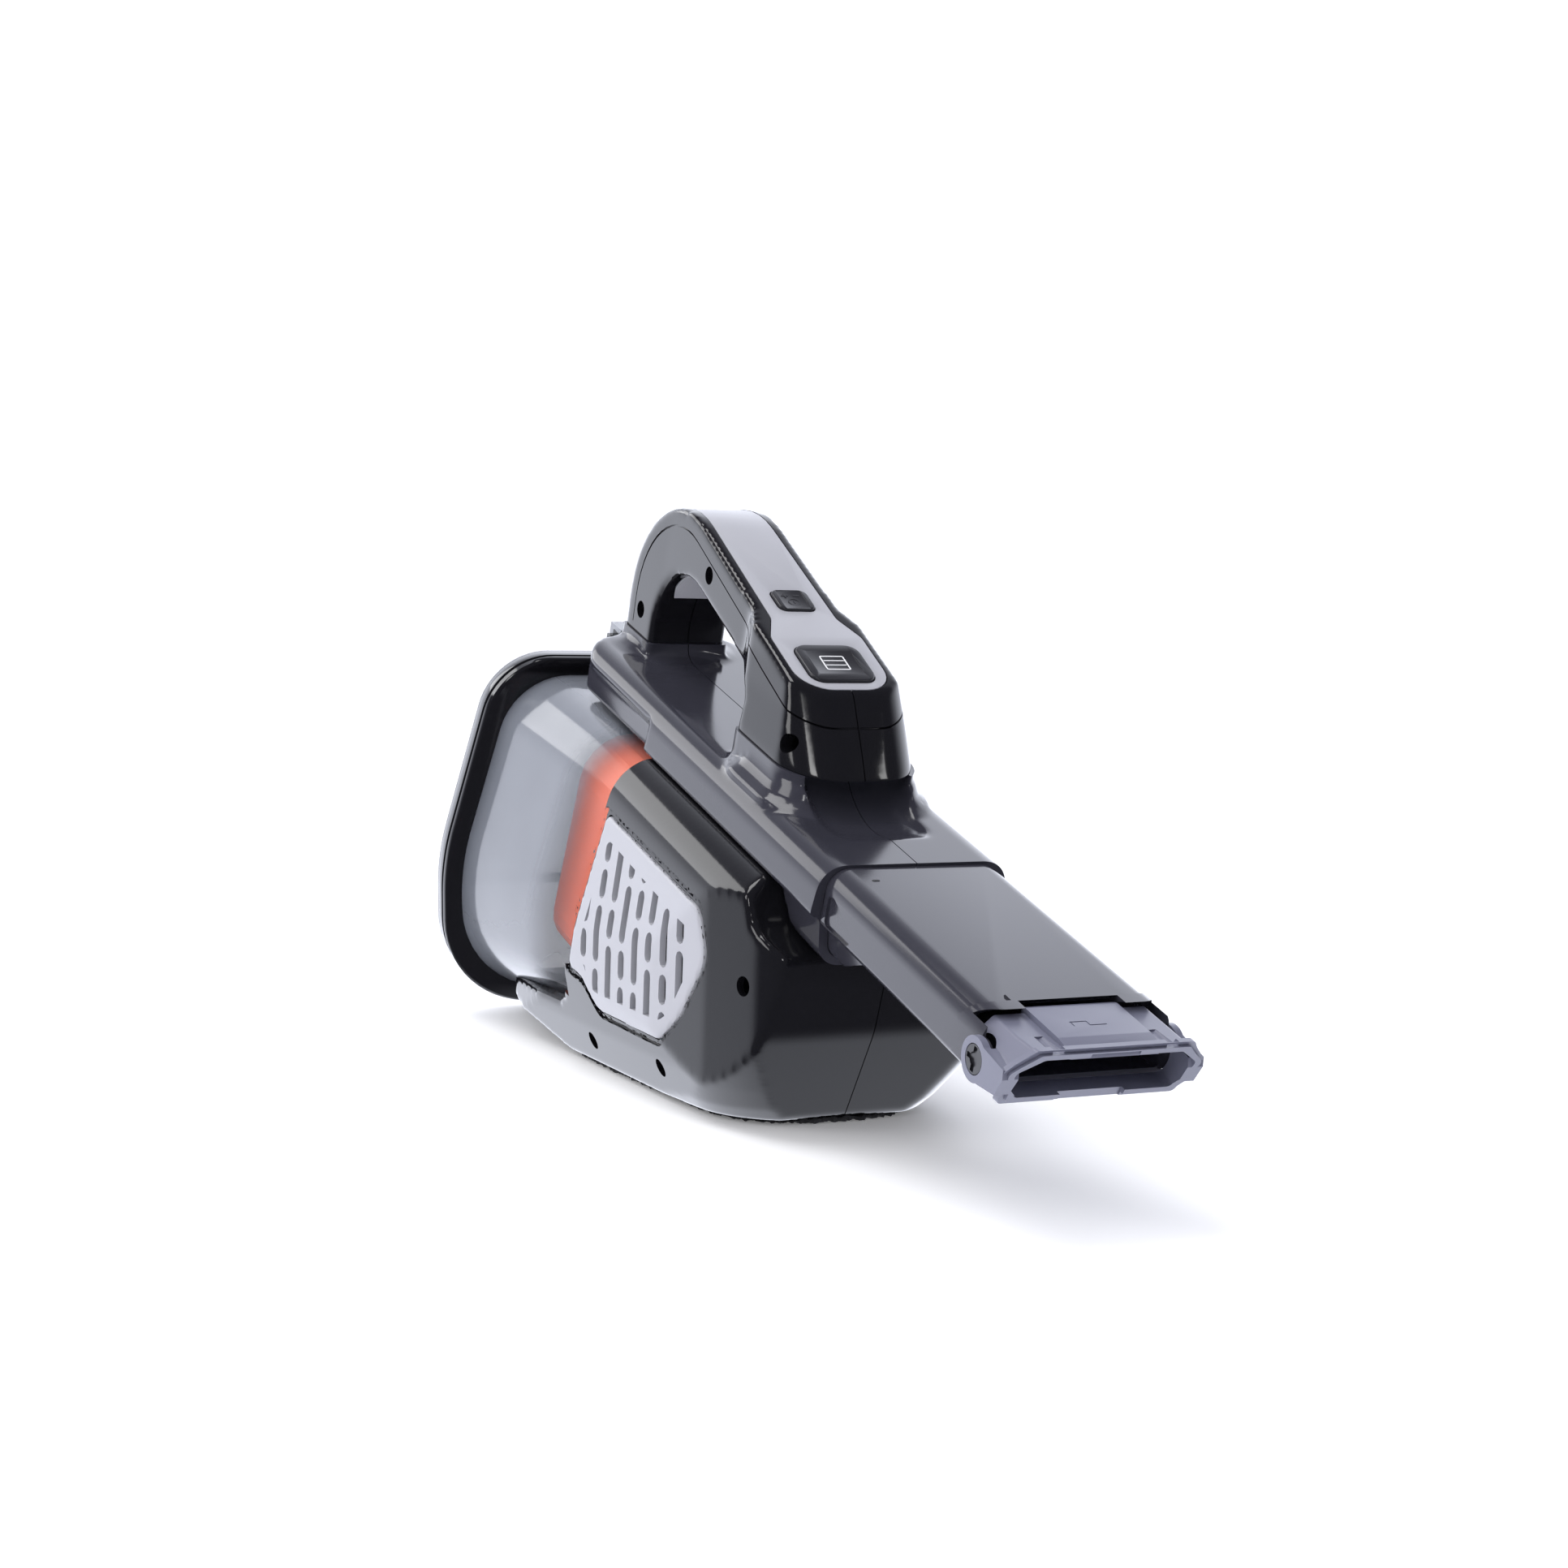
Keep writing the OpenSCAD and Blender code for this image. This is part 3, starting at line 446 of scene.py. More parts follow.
SOLE = fibrous("sole_black", (0.008, 0.008, 0.009, 1), (0.07, 0.07, 0.075, 1), 700, 0.0007)
CLOTH = fibrous("filter_cloth", (0.6, 0.59, 0.55, 1), (0.8, 0.79, 0.75, 1), 1300, 0.0003, (1, 1, 3))
SCREEN = metal("screen_mesh", (0.55, 0.56, 0.6, 1), 0.4, (1, 1, 1))
FINISHES = {"gloss_black": BLACK, "gloss_charcoal": CHARCOAL, "pale_grey": PALE, "mid_grey": MID,
            "button_dark": BUTTON, "soft_black": SOFT, "orange_plastic": ORANGE, "fan_plastic": FAN,
            "board_green": BOARD, "cell_wrap": WRAP, "smoked_clear": SMOKED, "steel": STEEL,
            "can_steel": CAN, "foam_black": FOAM, "sole_black": SOLE, "filter_cloth": CLOTH,
            "screen_mesh": SCREEN}
for row in frame["record"]["subparts"]:
    piece = frame["nodes"][row["node"]]
    piece.data.materials.clear()
    piece.data.materials.append(FINISHES[row["material_slot"]])


# ---- duct shell ----

def duct_shell():
    step_v, end_v = BOWL_V + 7, SHELL_LEN
    section = rounded(both([(SHELL_HALF, 0, 10), (SHELL_HALF + 2, -SHELL_DEEP, 1)]))
    plan = rounded(both([(FAR / 2, -3, 0), (FAR / 2, BOWL_V + 3, 0), (SHELL_HALF, step_v, 2),
                         (SHELL_HALF, end_v, 20)]))
    solid = common(prism(section, -3, end_v, "v"), prism(plan, -FAR, FAR, "h"))
    for side in (-1, 1):
        cut(solid, block(*sorted((side * (SHELL_HALF - 1.4), side * FAR)), step_v, FAR, -FAR, -7))
    collar = prism(rounded(both([(SHELL_HALF - 0.4, -7, 0), (SHELL_HALF - 5, -COLLAR_DEEP, 9)])),
                   -3, 60, "v")
    common(collar, prism([(-3, -6), (34, -6), (34, -SHELL_DEEP), (24, -COLLAR_DEEP + 4.6),
                          (8, -COLLAR_DEEP), (-3, -COLLAR_DEEP)], -FAR, FAR, "x"))
    add(solid, collar)
    # The handle's feet stand on pads, each with a flare of four steps that the softening blends
    for low_v, high_v, top in ((0, POST_V + POST_LONG + 0.8, POST_H + 4),
                               (REAR_V - REAR_LONG - 0.8, end_v, REAR_H + 4)):
        add(solid, common(prism(handle_plan(-0.9), -3, top, "h"),
                          block(-60, 60, low_v, high_v, -10, 40)))
    for grow, top in ((1.2, 7.5), (2.4, 4.6), (4.2, 2.6), (6.8, 1.1)):
        add(solid, rounded_plate(POST_HALF + grow, POST_LONG + grow, 17 + grow, -3, top,
                                 (0, POST_V + 0.4)))
        add(solid, common(rounded_plate(REAR_HALF + grow, REAR_LONG + grow, 11 + grow, -3, top * 0.6,
                                        (0, REAR_V)),
                          block(-60, 60, 0, end_v, -10, 30)))
    scoop = rod(34, -21, 21, (33.5, 31.8), "x", 72)
    eased(scoop, 6, 5, 50)
    cut(solid, scoop)
    soften(solid, 0.85, 20)
    cut(solid, block(-FAR, FAR, -FAR, 0, -FAR, FAR))
    cut(solid, block(-40, 40, 30, 110, POST_H - 0.15, 40), block(-40, 40, 190, 240, REAR_H - 0.15, 40))
    tunnel = rounded(both([(SHELL_HALF - WALL, -WALL, 8), (SHELL_HALF - WALL, -SHELL_DEEP + WALL, 3)]))
    throat = rounded(both([(SHELL_HALF - 3, -3, 8), (SHELL_HALF - 8, -COLLAR_DEEP + 2.5, 7)]))
    cut(solid, prism(tunnel, -2, 222, "v"))
    cut(solid, prism(throat, -2, 22, "v"))
    cut(solid, block(-10.6, 10.6, end_v - 12, end_v + 4, LATCH_H - 3.2, LATCH_H + 2.6))
    split_halves(solid, "top_shell", CHARCOAL, SLOPED)


# ---- motor housing and grilles ----

def hull_form(e, reach=0):
    """The housing's outside without its flared base, moved in by e, its rear carried on by reach."""
    rear_v, rear_y = BOWL_V + reach, level(BOWL_V, BOWL_LOW)[0] + 6 + reach
    side = rounded([(-BASE_END + SOLE_T + e, 2 + e, 3), (NOSE_Y + 26 + e, 37, 30),
                    (NOSE_Y + 19 + e, 58, 12), level_corner(8 + e, -COLLAR_DEEP - 0.6 - e, 2),
                    level_corner(24, -COLLAR_DEEP + 4 - e, 8), level_corner(34, -SHELL_DEEP - 0.3 - e, 6),
                    level_corner(rear_v - e, -SHELL_DEEP - 0.3 - e, 0),
                    level_corner(rear_v - e, BOWL_LOW + 3, 0), (rear_y, 24 - e, 3),
                    (BASE_END + 56 - e, 24 - e, 2), (BASE_END + 57.5 - e, 15, 4),
                    (BASE_END - 2, 2 + e, 8)])
    plan = rounded(both([(BASE_HALF + 1.5 - e, BASE_END + 60, 8), (HULL_HALF + 0.5 - e, 50, 60),
                         (HULL_HALF - 3 - e, -25, 60), (HULL_HALF - 8 - e, -62, 40),
                         (BASE_HALF - 4.5 - e, NOSE_Y + 10 + e, 26)]), 12)
    low = rounded(both([(FAR, FAR, 0), (FAR, 60, 0), (HULL_HALF + 2 - e, 45, 0),
                        (BASE_HALF + 7 - e, 18, 6), (BASE_HALF - e, SOLE_T + e, 0)]))
    section = rounded(both([(HULL_HALF - 10 - e, BOWL_TOP + 1.5 - e, 20), (HULL_HALF + 0.4 - e, -90, 90),
                            (HULL_HALF + 0.4 - e, -FAR, 0)]), 12)
    return common(prism(side, -FAR / 2, FAR / 2, "x"), prism(plan, -1, FAR, "h"),
                  prism(low, -FAR, FAR, "v"), moved(prism(section, -FAR, FAR, "v"), SLOPED))


def grille_outline(e):
    rear_v = BOWL_V - 2.5 - e
    return rounded([level_corner(rear_v, BOWL_TOP - 21 - e, 3), (-56 + e, 78 - e, 8), (-62 + e, 60, 12),
                    (-46 + e, 37, 14), (-32, 25.5 + e, 9), (24, 27 + e, 9), (33, 38 + e, 5),
                    level_corner(rear_v, BOWL_LOW + 19 + e, 4)], 8)


def grille_slots():
    """Long and short slots in turn down each column, each column lower than the one behind it."""
    half, long, short, gap, pitch, drop = 2.45, 21.9, 11.4, 2.45, 11, 14
    period = long + short + 2 * gap
    slots = []
    for column in range(-3, 8):
        y, top = 10.1 - column * pitch, 92.6 - math.fmod(column * drop, period)
        for turn in range(-2, 3):
            for high, length in ((top + turn * period, long), (top + turn * period - long - gap, short)):
                slots.append(prism(pill(y, high - length / 2, half, length / 2), -FAR / 2, FAR / 2, "x"))
    return common(joined(slots), prism(grille_outline(7.5), -FAR / 2, FAR / 2, "x"))


def base_outline(e):
    return rounded(both([(BASE_HALF + 1.5 - e, FAR, 0), (BASE_HALF - e, 40, 0),
                         (BASE_HALF - 1 - e, 0, 200), (BASE_HALF - 6 - e, -BASE_END + e, 36)]), 16)


def grille_ledge(outer):
    """The shallow step round the grille's opening."""
    ring = cut(prism(grille_outline(-2.8), -FAR / 2, FAR / 2, "x"),
               prism(grille_outline(-0.3), -FAR, FAR, "x"))
    combine(ring, outer, "INTERSECT", keep=True)
    return cut(ring, hull_form(1.1))


def floor_flare(e):
    """The rounding of the hull towards its base, moved in by e."""
    return loft([[(x, y, z) for x, y in base_outline(grow + e)] for z, grow in
                 ((1 + e, -1), (7, -6), (15, -11), (30, -20), (60, -40), (FAR, -100))])


def motor_housing():
    outer = soften(common(hull_form(0, 5), floor_flare(0)), 1.15, 10)
    cut(outer, moved(block(-FAR, FAR, BOWL_V - 0.2, FAR, BOWL_LOW + 4, FAR), SLOPED))
    inner = cut(common(hull_form(WALL), floor_flare(4)),
                moved(block(-FAR, FAR, BOWL_V - 3, FAR, -FAR, FAR), SLOPED))
    slots = grille_slots()
    for side, name in ((-1, "vent_grille_right"), (1, "vent_grille_left")):
        plate = prism(grille_outline(0.1), *sorted((side * 8, side * FAR / 2)), "x")
        combine(plate, outer, "INTERSECT", keep=True)
        soften(plate, 0.8, 7)
        combine(plate, inner, "DIFFERENCE", keep=True)
        combine(plate, slots, "DIFFERENCE", keep=True)
        fitted(plate, name + "_plate", "root", PALE, UPRIGHT, [name])
    bpy.data.objects.remove(slots)
    cut(outer, grille_ledge(outer))
    cut(outer, inner)
    for side in (-1, 1):
        cut(outer, prism(grille_outline(-0.35), *sorted((side * 5, side * FAR / 2)), "x"))
    cut(outer, moved(loft([bowl_ring(t, -0.3) for t in (-0.002, 0.5, 1.1)]), SLOPED))
    cut(outer, moved(rod(30, 140, 146, (0, -80), "v", 64), SLOPED))
    for y, z, radius in HULL_SCREWS:
        cut(outer, rod(radius, -FAR, -5, (y, z)), rod(1.8, -6, 11, (y, z)))
    cut(outer, rod(4.7, 36, FAR, (SOCKET_Y, SOCKET_Z)))
    split_halves(outer, "motor_housing", BLACK, UPRIGHT)


# ---- handle, panel and keys ----

def grip_line(v):
    return GRIP_H + (v - GRIP_V) * math.tan(GRIP_RISE)


def handle_side(e, down=0):
    """The handle and its loop from the side, moved in by e, its feet carried down by down."""
    post_end = POST_V + POST_LONG
    return rounded([(45.5 + e * 1.4 - down, POST_H - down, 0), (GRIP_V + e, GRIP_H - e, 8 - e),
                    (GRIP_END - e, grip_line(GRIP_END) - e, 48 - e),
                    (REAR_V + REAR_LONG - e, REAR_H - down, 0), (REAR_V - REAR_LONG + e, REAR_H - down, 0),
                    (209 + e, grip_line(209) - GRIP_T * 1.03 + e, 30 + e),
                    (post_end + 0.5 - e, grip_line(100) - GRIP_T * 1.03 + e, 8),
                    (post_end - e, POST_H - down, 0)], 14)


def handle_plan(e, lean=0):
    """The handle from above, moved in by e, its rounded front edge moved back by lean."""
    return rounded(both([(POST_HALF - e, POST_V - POST_LONG + 1 + e + lean, 21),
                         (POST_HALF - e, POST_V + POST_LONG - 3, 8),
                         (GRIP_HALF - e, POST_V + POST_LONG + 20, 20), (REAR_HALF - e, REAR_V - 16, 0),
                         (REAR_HALF - e, GRIP_END + 6 - e, 13)]), 10)


def handle_body(e):
    """The plan carried upward, its front edge leaning back as the post's front does."""
    return loft([[(a, b, h) for a, b in handle_plan(e, lean)] for h, lean in
                 ((-FAR / 4, -20), (POST_H, 0), (GRIP_H, 19.5), (GRIP_H + 8, 22), (FAR / 2, 22))])


def handle_taper(e):
    """The region between the sides of the front post, which lean in towards the grip."""
    return prism(rounded(both([(POST_HALF + 2 - e, -40, 0), (POST_HALF - e, 12, 0), (24 - e, 30, 30),
                               (22.5 - e, 42, 0), (22.5 - e, FAR, 0)])), -FAR, FAR, "v")


def panel_strip(up, depth, grow):
    """The grip's top layer from up above its line to depth below it, its outline grown by grow."""
    strip = cut(prism(handle_side(-up), -FAR / 8, FAR / 8, "x"),
                prism(handle_side(depth, 3), -FAR / 4, FAR / 4, "x"))
    plan = rounded(both([(18.8 + grow, GRIP_V + 1.8 - grow, 12), (18.8 + grow, GRIP_V + 34, 8),
                         (13.5 + grow, GRIP_V + 46, 8), (12 + grow, 205 + grow, 8)]), 8)
    return common(strip, prism(plan, GRIP_H - 12, FAR / 2, "h"))


def key_hole(s, half_x, half_s, radius, grow):
    """The space of a key at s along the grip, wider all round by grow."""
    hole = rounded_plate(half_x + grow, half_s + grow, radius, -KEY_DEEP, 30, (0, s))
    return moved(hole, SLOPED.inverted() @ ON_GRIP)


# Each key: its place along the grip, half width, half length and corner radius
KEYS = ((POWER_S, 13.3, 11.5, 5.5), (MODE_S, 7.6, 6.6, 3.4))


def cap_seam(e):
    """The region above the seam that parts the handle's cap from its body, moved up by e."""
    low, inset = 27.3 + e, 9.5
    return rounded([(20 - 9 * e, low, 0), (57, low, 12), (93, grip_line(93) - inset + e, 26),
                    (GRIP_END - inset + e, grip_line(GRIP_END) - inset + e, 39),
                    (REAR_V + 5.5 + e, REAR_H + 3, 0), (FAR, REAR_H + 3, 0), (FAR, FAR, 0),
                    (20 - 9 * e, FAR, 0)], 14)


def handle():
    solid = common(prism(handle_side(0, 6), -FAR / 4, FAR / 4, "x"), handle_body(0), handle_taper(0))
    soften(solid, 0.85, 34)
    cut(solid, block(-60, 60, 0, 150, -60, POST_H + 0.15), block(-60, 60, 150, 300, -60, REAR_H + 0.15))
    skin = cut(handle_body(-4), common(handle_body(0.9), handle_taper(0.9)))
    seam = cut(prism(cap_seam(0), -FAR / 4, FAR / 4, "x"), prism(cap_seam(0.6), -FAR, FAR, "x"))
    cut(solid, common(seam, skin))
    cut(solid, common(prism(handle_side(4, 6), -FAR / 4, FAR / 4, "x"), handle_body(4), handle_taper(4)))
    cut(solid, panel_strip(3, PANEL_T + 0.15, 0.35))
    for s, half_x, half_s, radius in KEYS:
        cut(solid, key_hole(s, half_x, half_s, radius, 0.5))
    for v, h in HANDLE_SCREWS:
        cut(solid, rod(3.5, -60, -13.2, (v, h)))
    split_halves(solid, "handle", BLACK, SLOPED)
    panel = panel_strip(-0.05, PANEL_T, 0)
    for s, half_x, half_s, radius in KEYS:
        cut(panel, key_hole(s, half_x, half_s, radius, 0.35))
    eased(panel, 0.4, 3, 50)
    cut(panel, moved(block(-60, 60, -FAR, FAR, CREST_Z, FAR), SLOPED.inverted()))
    fitted(panel, "grip_panel_strip", "root", PALE, SLOPED, ["grip_panel"])


def outline_bars(half_x, half_y, width, low, high, centre):
    """A thin rectangular frame, for a raised symbol."""
    bars = rounded_plate(half_x, half_y, 0.8, low, high, centre)
    return cut(bars, rounded_plate(half_x - width, half_y - width, 0.3, low - 1, high + 1, centre))


def keys():
    for (s, half_x, half_s, radius), body in zip(KEYS, ("power", "mode")):
        key = rounded_plate(half_x, half_s, radius, -3.5, 1, (0, s))
        eased(key, 0.7, 4, 60)
        hollow = rod(60, -half_x * 0.72, half_x * 0.72, (s, 60.55), "x", 160)
        cut(key, eased(hollow, 0.5, 2, 60))
        cut(key, rounded_plate(half_x - 1.8, half_s - 1.8, 2, -4, -1.5, (0, s)))
        fitted(key, f"{body}_key_cap", f"{body}_key", BUTTON, ON_GRIP, [f"{body}_button"])
    low, high = 0.2, 0.72
    symbol = joined([outline_bars(5, 4.4, 0.55, low, high, (0, POWER_S)),
                     rounded_plate(2.4, 0.35, 0.2, low, high, (0, POWER_S - 5.1)),
                     rounded_plate(4.2, 0.22, 0.1, low, high, (0, POWER_S + 1.4)),
                     rounded_plate(4.2, 0.22, 0.1, low, high, (0, POWER_S - 1.4))])
    fitted(symbol, "charge_symbol", "power_key", PRINT, ON_GRIP)
    ring_s, mark_s = MODE_S - 1.6, MODE_S + 2.8
    ring = cut(rod(2.5, low, 0.7, (0, ring_s), "h"), rod(2, 0, 2, (0, ring_s), "h"))
    mark = joined([ring, rounded_plate(0.28, 1, 0.2, low, 0.7, (0, ring_s)),
                   rounded_plate(1.4, 0.28, 0.2, low, 0.75, (2.4, mark_s)),
                   add(rounded_plate(1.4, 0.28, 0.2, low, 0.75, (-2.4, mark_s)),
                       rounded_plate(0.28, 1.4, 0.2, low, 0.75, (-2.4, mark_s)))])
    fitted(mark, "mode_symbol", "mode_key", BUTTON, ON_GRIP)


# ---- nozzle and tip ----

TIP_SWING = 15      # radius kept clear of the nozzle for the tip's rear edge
EAR_IN, EAR_OUT = 34.4, 36.8
MOUTH_TOP, MOUTH_LOW = (-139.5, 6), (-123.5, -30)
TOP_PLATE_V = -119


def nozzle_section(e):
    return rounded(both([(34 - e, -1 - e, max(8 - e, 2)), (34 - e, -23 + e, 3)]))


def pivot_rod(radius, half):
    return rod(radius, -half, half, (TIP_V, TIP_H), "x", 72)


def nozzle():
    body = prism(nozzle_section(0), TIP_V - 2, -0.3, "v")
    flare = prism(rounded(both([(33.4, -1, 8), (28.3, -35.3, 7)])), -30, -0.3, "v")
    common(flare, prism([(1, 0), (-30, 0), (-30, -23), (-8, -34.5), (1, -35)], -60, 60, "x"))
    add(body, flare)
    floor_v = TIP_V - 3.6
    swept = common(pivot_rod(TIP_SWING, 60),
                   prism([(TIP_V, TIP_H), (0, TIP_H - 12), (0, 30), (-220, 30), (-220, -60),
                          (floor_v, -60), (floor_v, TIP_H - 4)], -90, 90, "x"))
    cut(body, block(-90, 90, -FAR, floor_v, -90, 60), swept)
    for side in (-1, 1):
        near, far = sorted((side * 31.6, side * 34))
        add(body, rod(7, near, far, (TIP_V, TIP_H), "x", 48),
            prism([(TIP_V, TIP_H - 3), (TIP_V + 17.6, TIP_H - 2.2), (TIP_V + 17.6, TIP_H - 6),
                   (TIP_V + 2, TIP_H - 6.5)], near, far, "x"))
    add(body, prism(rounded(both([(33.3, -3.2, 8), (28.3, -35.3, 7)])), -0.4, 18, "v"))
    cut(body, prism(rounded(both([(31.8, -3.2, 6), (31.8, -20.8, 2)])), -FAR, -0.2, "v"),
        prism(rounded(both([(30.5, -6, 6), (25.5, -32, 5)])), -0.4, 19, "v"))
    bead = cut(prism(nozzle_section(-0.75), TIP_V, -88, "v"),
               prism(nozzle_section(1.2), TIP_V - 9, -80, "v"))
    common(bead, add(pivot_rod(TIP_SWING + 2.6, FAR / 4), pivot_rod(20.2, 20.5)),
           block(-FAR, FAR, TIP_V + 1, -80, -17, FAR))
    add(body, bead)
    above = block(-FAR, FAR, TIP_V - 30, TIP_V + 30, -12, FAR)
    cut(body, common(pivot_rod(TIP_SWING, 33.3), copy_of(above)), common(pivot_rod(17.3, 18.5), above))
    for side in (-1, 1):
        pocket = prism(rounded([(-3, -10, 2), (-7, -9, 3), (-34, -20.6, 3), (-3, -20.6, 2)]),
                       *sorted((side * 33, side * 40)), "x")
        cut(body, pocket)
    eased(body, 0.45, 3, 32)
    fitted(body, "nozzle_body", "root", CHARCOAL, SLOPED, ["nozzle"])
    dot = eased(rounded_plate(1.5, 0.7, 0.69, -1.6, -0.85, (-21.5, -11)), 0.1, 1, 50)
    fitted(dot, "nozzle_dot", "root", SOFT)


def tip_ring(corners, v, e):
    """A section of the tip, its sides, floor and top moved in by e and its waist left at its height."""
    moved_in = [(a - e, b + (e if b < -20 else -e if b > -5 else 0), r) for a, b, r in corners]
    return at_v(rounded(both(moved_in), 6), v)


def tip_shape(e):
    mouth = [(26.5, -2.6, 2), (38.3, -12.8, 3), (29, -24, 2)]
    root = [(28, -3.4, 2), (33.4, -9, 3), (31.6, -23, 2)]
    return loft([tip_ring(mouth, TIP_V - 29, e), tip_ring(root, TIP_V - 8, e),
                 tip_ring(root, TIP_V + 9, e)])


def mouth_slab(start, end):
    """The space between two planes parallel to the mouth, start and end behind it."""
    (top_v, top_h), (low_v, low_h) = MOUTH_TOP, MOUTH_LOW
    return prism([(top_v + start, top_h), (low_v + start, low_h), (low_v + end, low_h),
                  (top_v + end, top_h)], -60, 60, "x")


def flip_tip():
    tip = cut(tip_shape(0), tip_shape(2))
    for side in (-1, 1):
        near, far = sorted((side * EAR_IN, side * EAR_OUT))
        add(tip, rod(7.5, near, far, (TIP_V, TIP_H), "x", 56))
        near, far = sorted((side * 31, side * EAR_OUT))
        add(tip, prism([(TIP_V, TIP_H + 6.5), (TIP_V - 17, TIP_H + 5), (TIP_V - 19, TIP_H - 4),
                        (TIP_V - 4, TIP_H - 6.5)], near, far, "x"))
    cut(tip, rod(7.9, -EAR_IN, EAR_IN, (TIP_V, TIP_H), "x", 56), rod(2.55, -FAR, FAR, (TIP_V, TIP_H)))
    cut(tip, prism([(TIP_V + 7, FAR), (TIP_V + 7, TIP_H + 8), (TIP_V - 4, TIP_H - 7.5),
                    (TIP_V - 4, -FAR), (FAR, -FAR), (FAR, FAR)], -EAR_IN, EAR_IN, "x"))
    cut(tip, prism([MOUTH_TOP, MOUTH_LOW, (-FAR, -30), (-FAR, 6)], -FAR, FAR, "x"))
    lip = common(tip_shape(-1.5), mouth_slab(1.4, 3.9))
    cut(lip, common(tip_shape(1.2), mouth_slab(-3, 6)))
    add(tip, lip)
    cut(tip, common(block(-12, 12, -150, -100, -30, -19), mouth_slab(-3, 2)))
    cut(tip, common(block(-9, 9, -150, -100, -6, -3.4), mouth_slab(-3, 4)))
    for side in (-1, 1):
        cut(tip, rod(2.2, -134.5, TIP_V - 8.6, (side * 20.8, -1.9), "v", 24))
        cut(tip, rod(5.1, *sorted((side * 35.6, side * 44)), (TIP_V, TIP_H)))
    plate = prism(rounded([(-103.8, -2.6, 0.6), (-106.5, -1.5, 3), (-127, -1.5, 4), (-134.5, -2.7, 2),
                           (-134.5, -5.2, 0), (-122.5, -5.2, 0), (-121.6, -4.4, 0.3),
                           (-103.8, -4.4, 0.4)]), -17, 17, "x")
    common(plate, rounded_plate(17, 17, 4, -8, 2, (0, TOP_PLATE_V)))
    eased(plate, 0.5, 3, 50)
    # A generic mark of four short grooves: half width, half length and centre
    for half_x, half_v, x, v in ((3, 0.28, -4, -117.5), (0.28, 1.5, -1.2, -118.8),
                                 (3.2, 0.28, 1.8, -120.1), (0.28, 1.5, -7, -118.8)):
        cut(plate, rounded_plate(half_x, half_v, 0.15, -1.75, 0, (x, v)))
    fitted(eased(tip, 0.45, 3, 32), "tip_body", "tip", MID, SLOPED, ["flip_tip"])
    fitted(plate, "tip_top_plate", "tip", MID)
    pins = []
    for side in (-1, 1):
        head = add(rod(2.5, *sorted((side * 31.6, side * 36)), (TIP_V, TIP_H)),
                   rod(4.8, *sorted((side * 35.75, side * 36.7)), (TIP_V, TIP_H)))
        near, far = sorted((side * 35.9, side * 40))
        cut(head, rod(2.4, near, far, (TIP_V, TIP_H)),
            block(near, far, TIP_V - 1, TIP_V + 1, TIP_H - 4.2, TIP_H + 4.2),
            block(near, far, TIP_V, TIP_V + 4.2, TIP_H - 0.9, TIP_H + 0.9))
        pins.append(head)
    fitted(eased(joined(pins), 0.15, 2, 50), "tip_pivot_pins", "root", BUTTON, SLOPED,
           ["tip_pins"])


# ---- bowl, rim, door and latch ----

def bowl():
    outside = ((0, 0.8), (0.006, 0.1), (0.02, 0), (0.25, 0), (0.5, 0), (0.75, 0), (1, 0))
    wall = loft([bowl_ring(t, e) for t, e in outside])
    cut(wall, loft([bowl_ring(t, BOWL_WALL) for t in (-0.05, 0.5, 1.05)]))
    cut(wall, rounded_plate(21, 11, 4, BOWL_TOP - 12, BOWL_TOP + 3, (0, 209.5)))
    for side in (-1, 1):
        near, far = sorted((side * 24.5, side * 27.5))
        lug = add(rod(3, near, far, (FLAP_V, FLAP_H)),
                  block(near, far, FLAP_V - 3, FLAP_V + 3, FLAP_H, BOWL_TOP - 2.6))
        add(wall, lug)
    cut(wall, rod(1.25, -29, 29, (FLAP_V, FLAP_H)))
    fitted(wall, "dust_bowl_wall", "root", SMOKED, SLOPED, ["dust_bowl"], 40)


def bowl_rim():
    profile = ((250.1, 1.1), (250.5, 0.4), (251.1, 0), (253.6, 0), (254, 0.5), (254.3, 1.3), (255.2, 1.3),
               (255.5, 0.5), (255.9, 0.1), (260.9, 0.1), (261.5, 0.4), (262, 1.1))
    rim = loft([at_v(rear_outline(e, 14), v) for v, e in profile])
    cut(rim, prism(rear_outline(10, 14), 248, 264, "v"))
    cut(rim, cut(prism(rear_outline(4.4, 14), 259.4, 264, "v"),
                 prism(rear_outline(8.1, 14), 259, 265, "v")))
    v, h = HINGE
    for s in (-1, 1):
        add(rim, rod(3.2, s * 18 - 4, s * 18 + 4, HINGE))
        add(rim, block(s * 18 - 4, s * 18 + 4, v - 9, v - 0.5, h - 3.2, h + 4))
    cut(rim, rod(3.6, -13.7, 13.7, HINGE), rod(HINGE_BORE, -FAR, FAR, HINGE))
    fitted(rim, "bowl_rim_ring", "root", BLACK, SLOPED, ["bowl_rim"], 40)


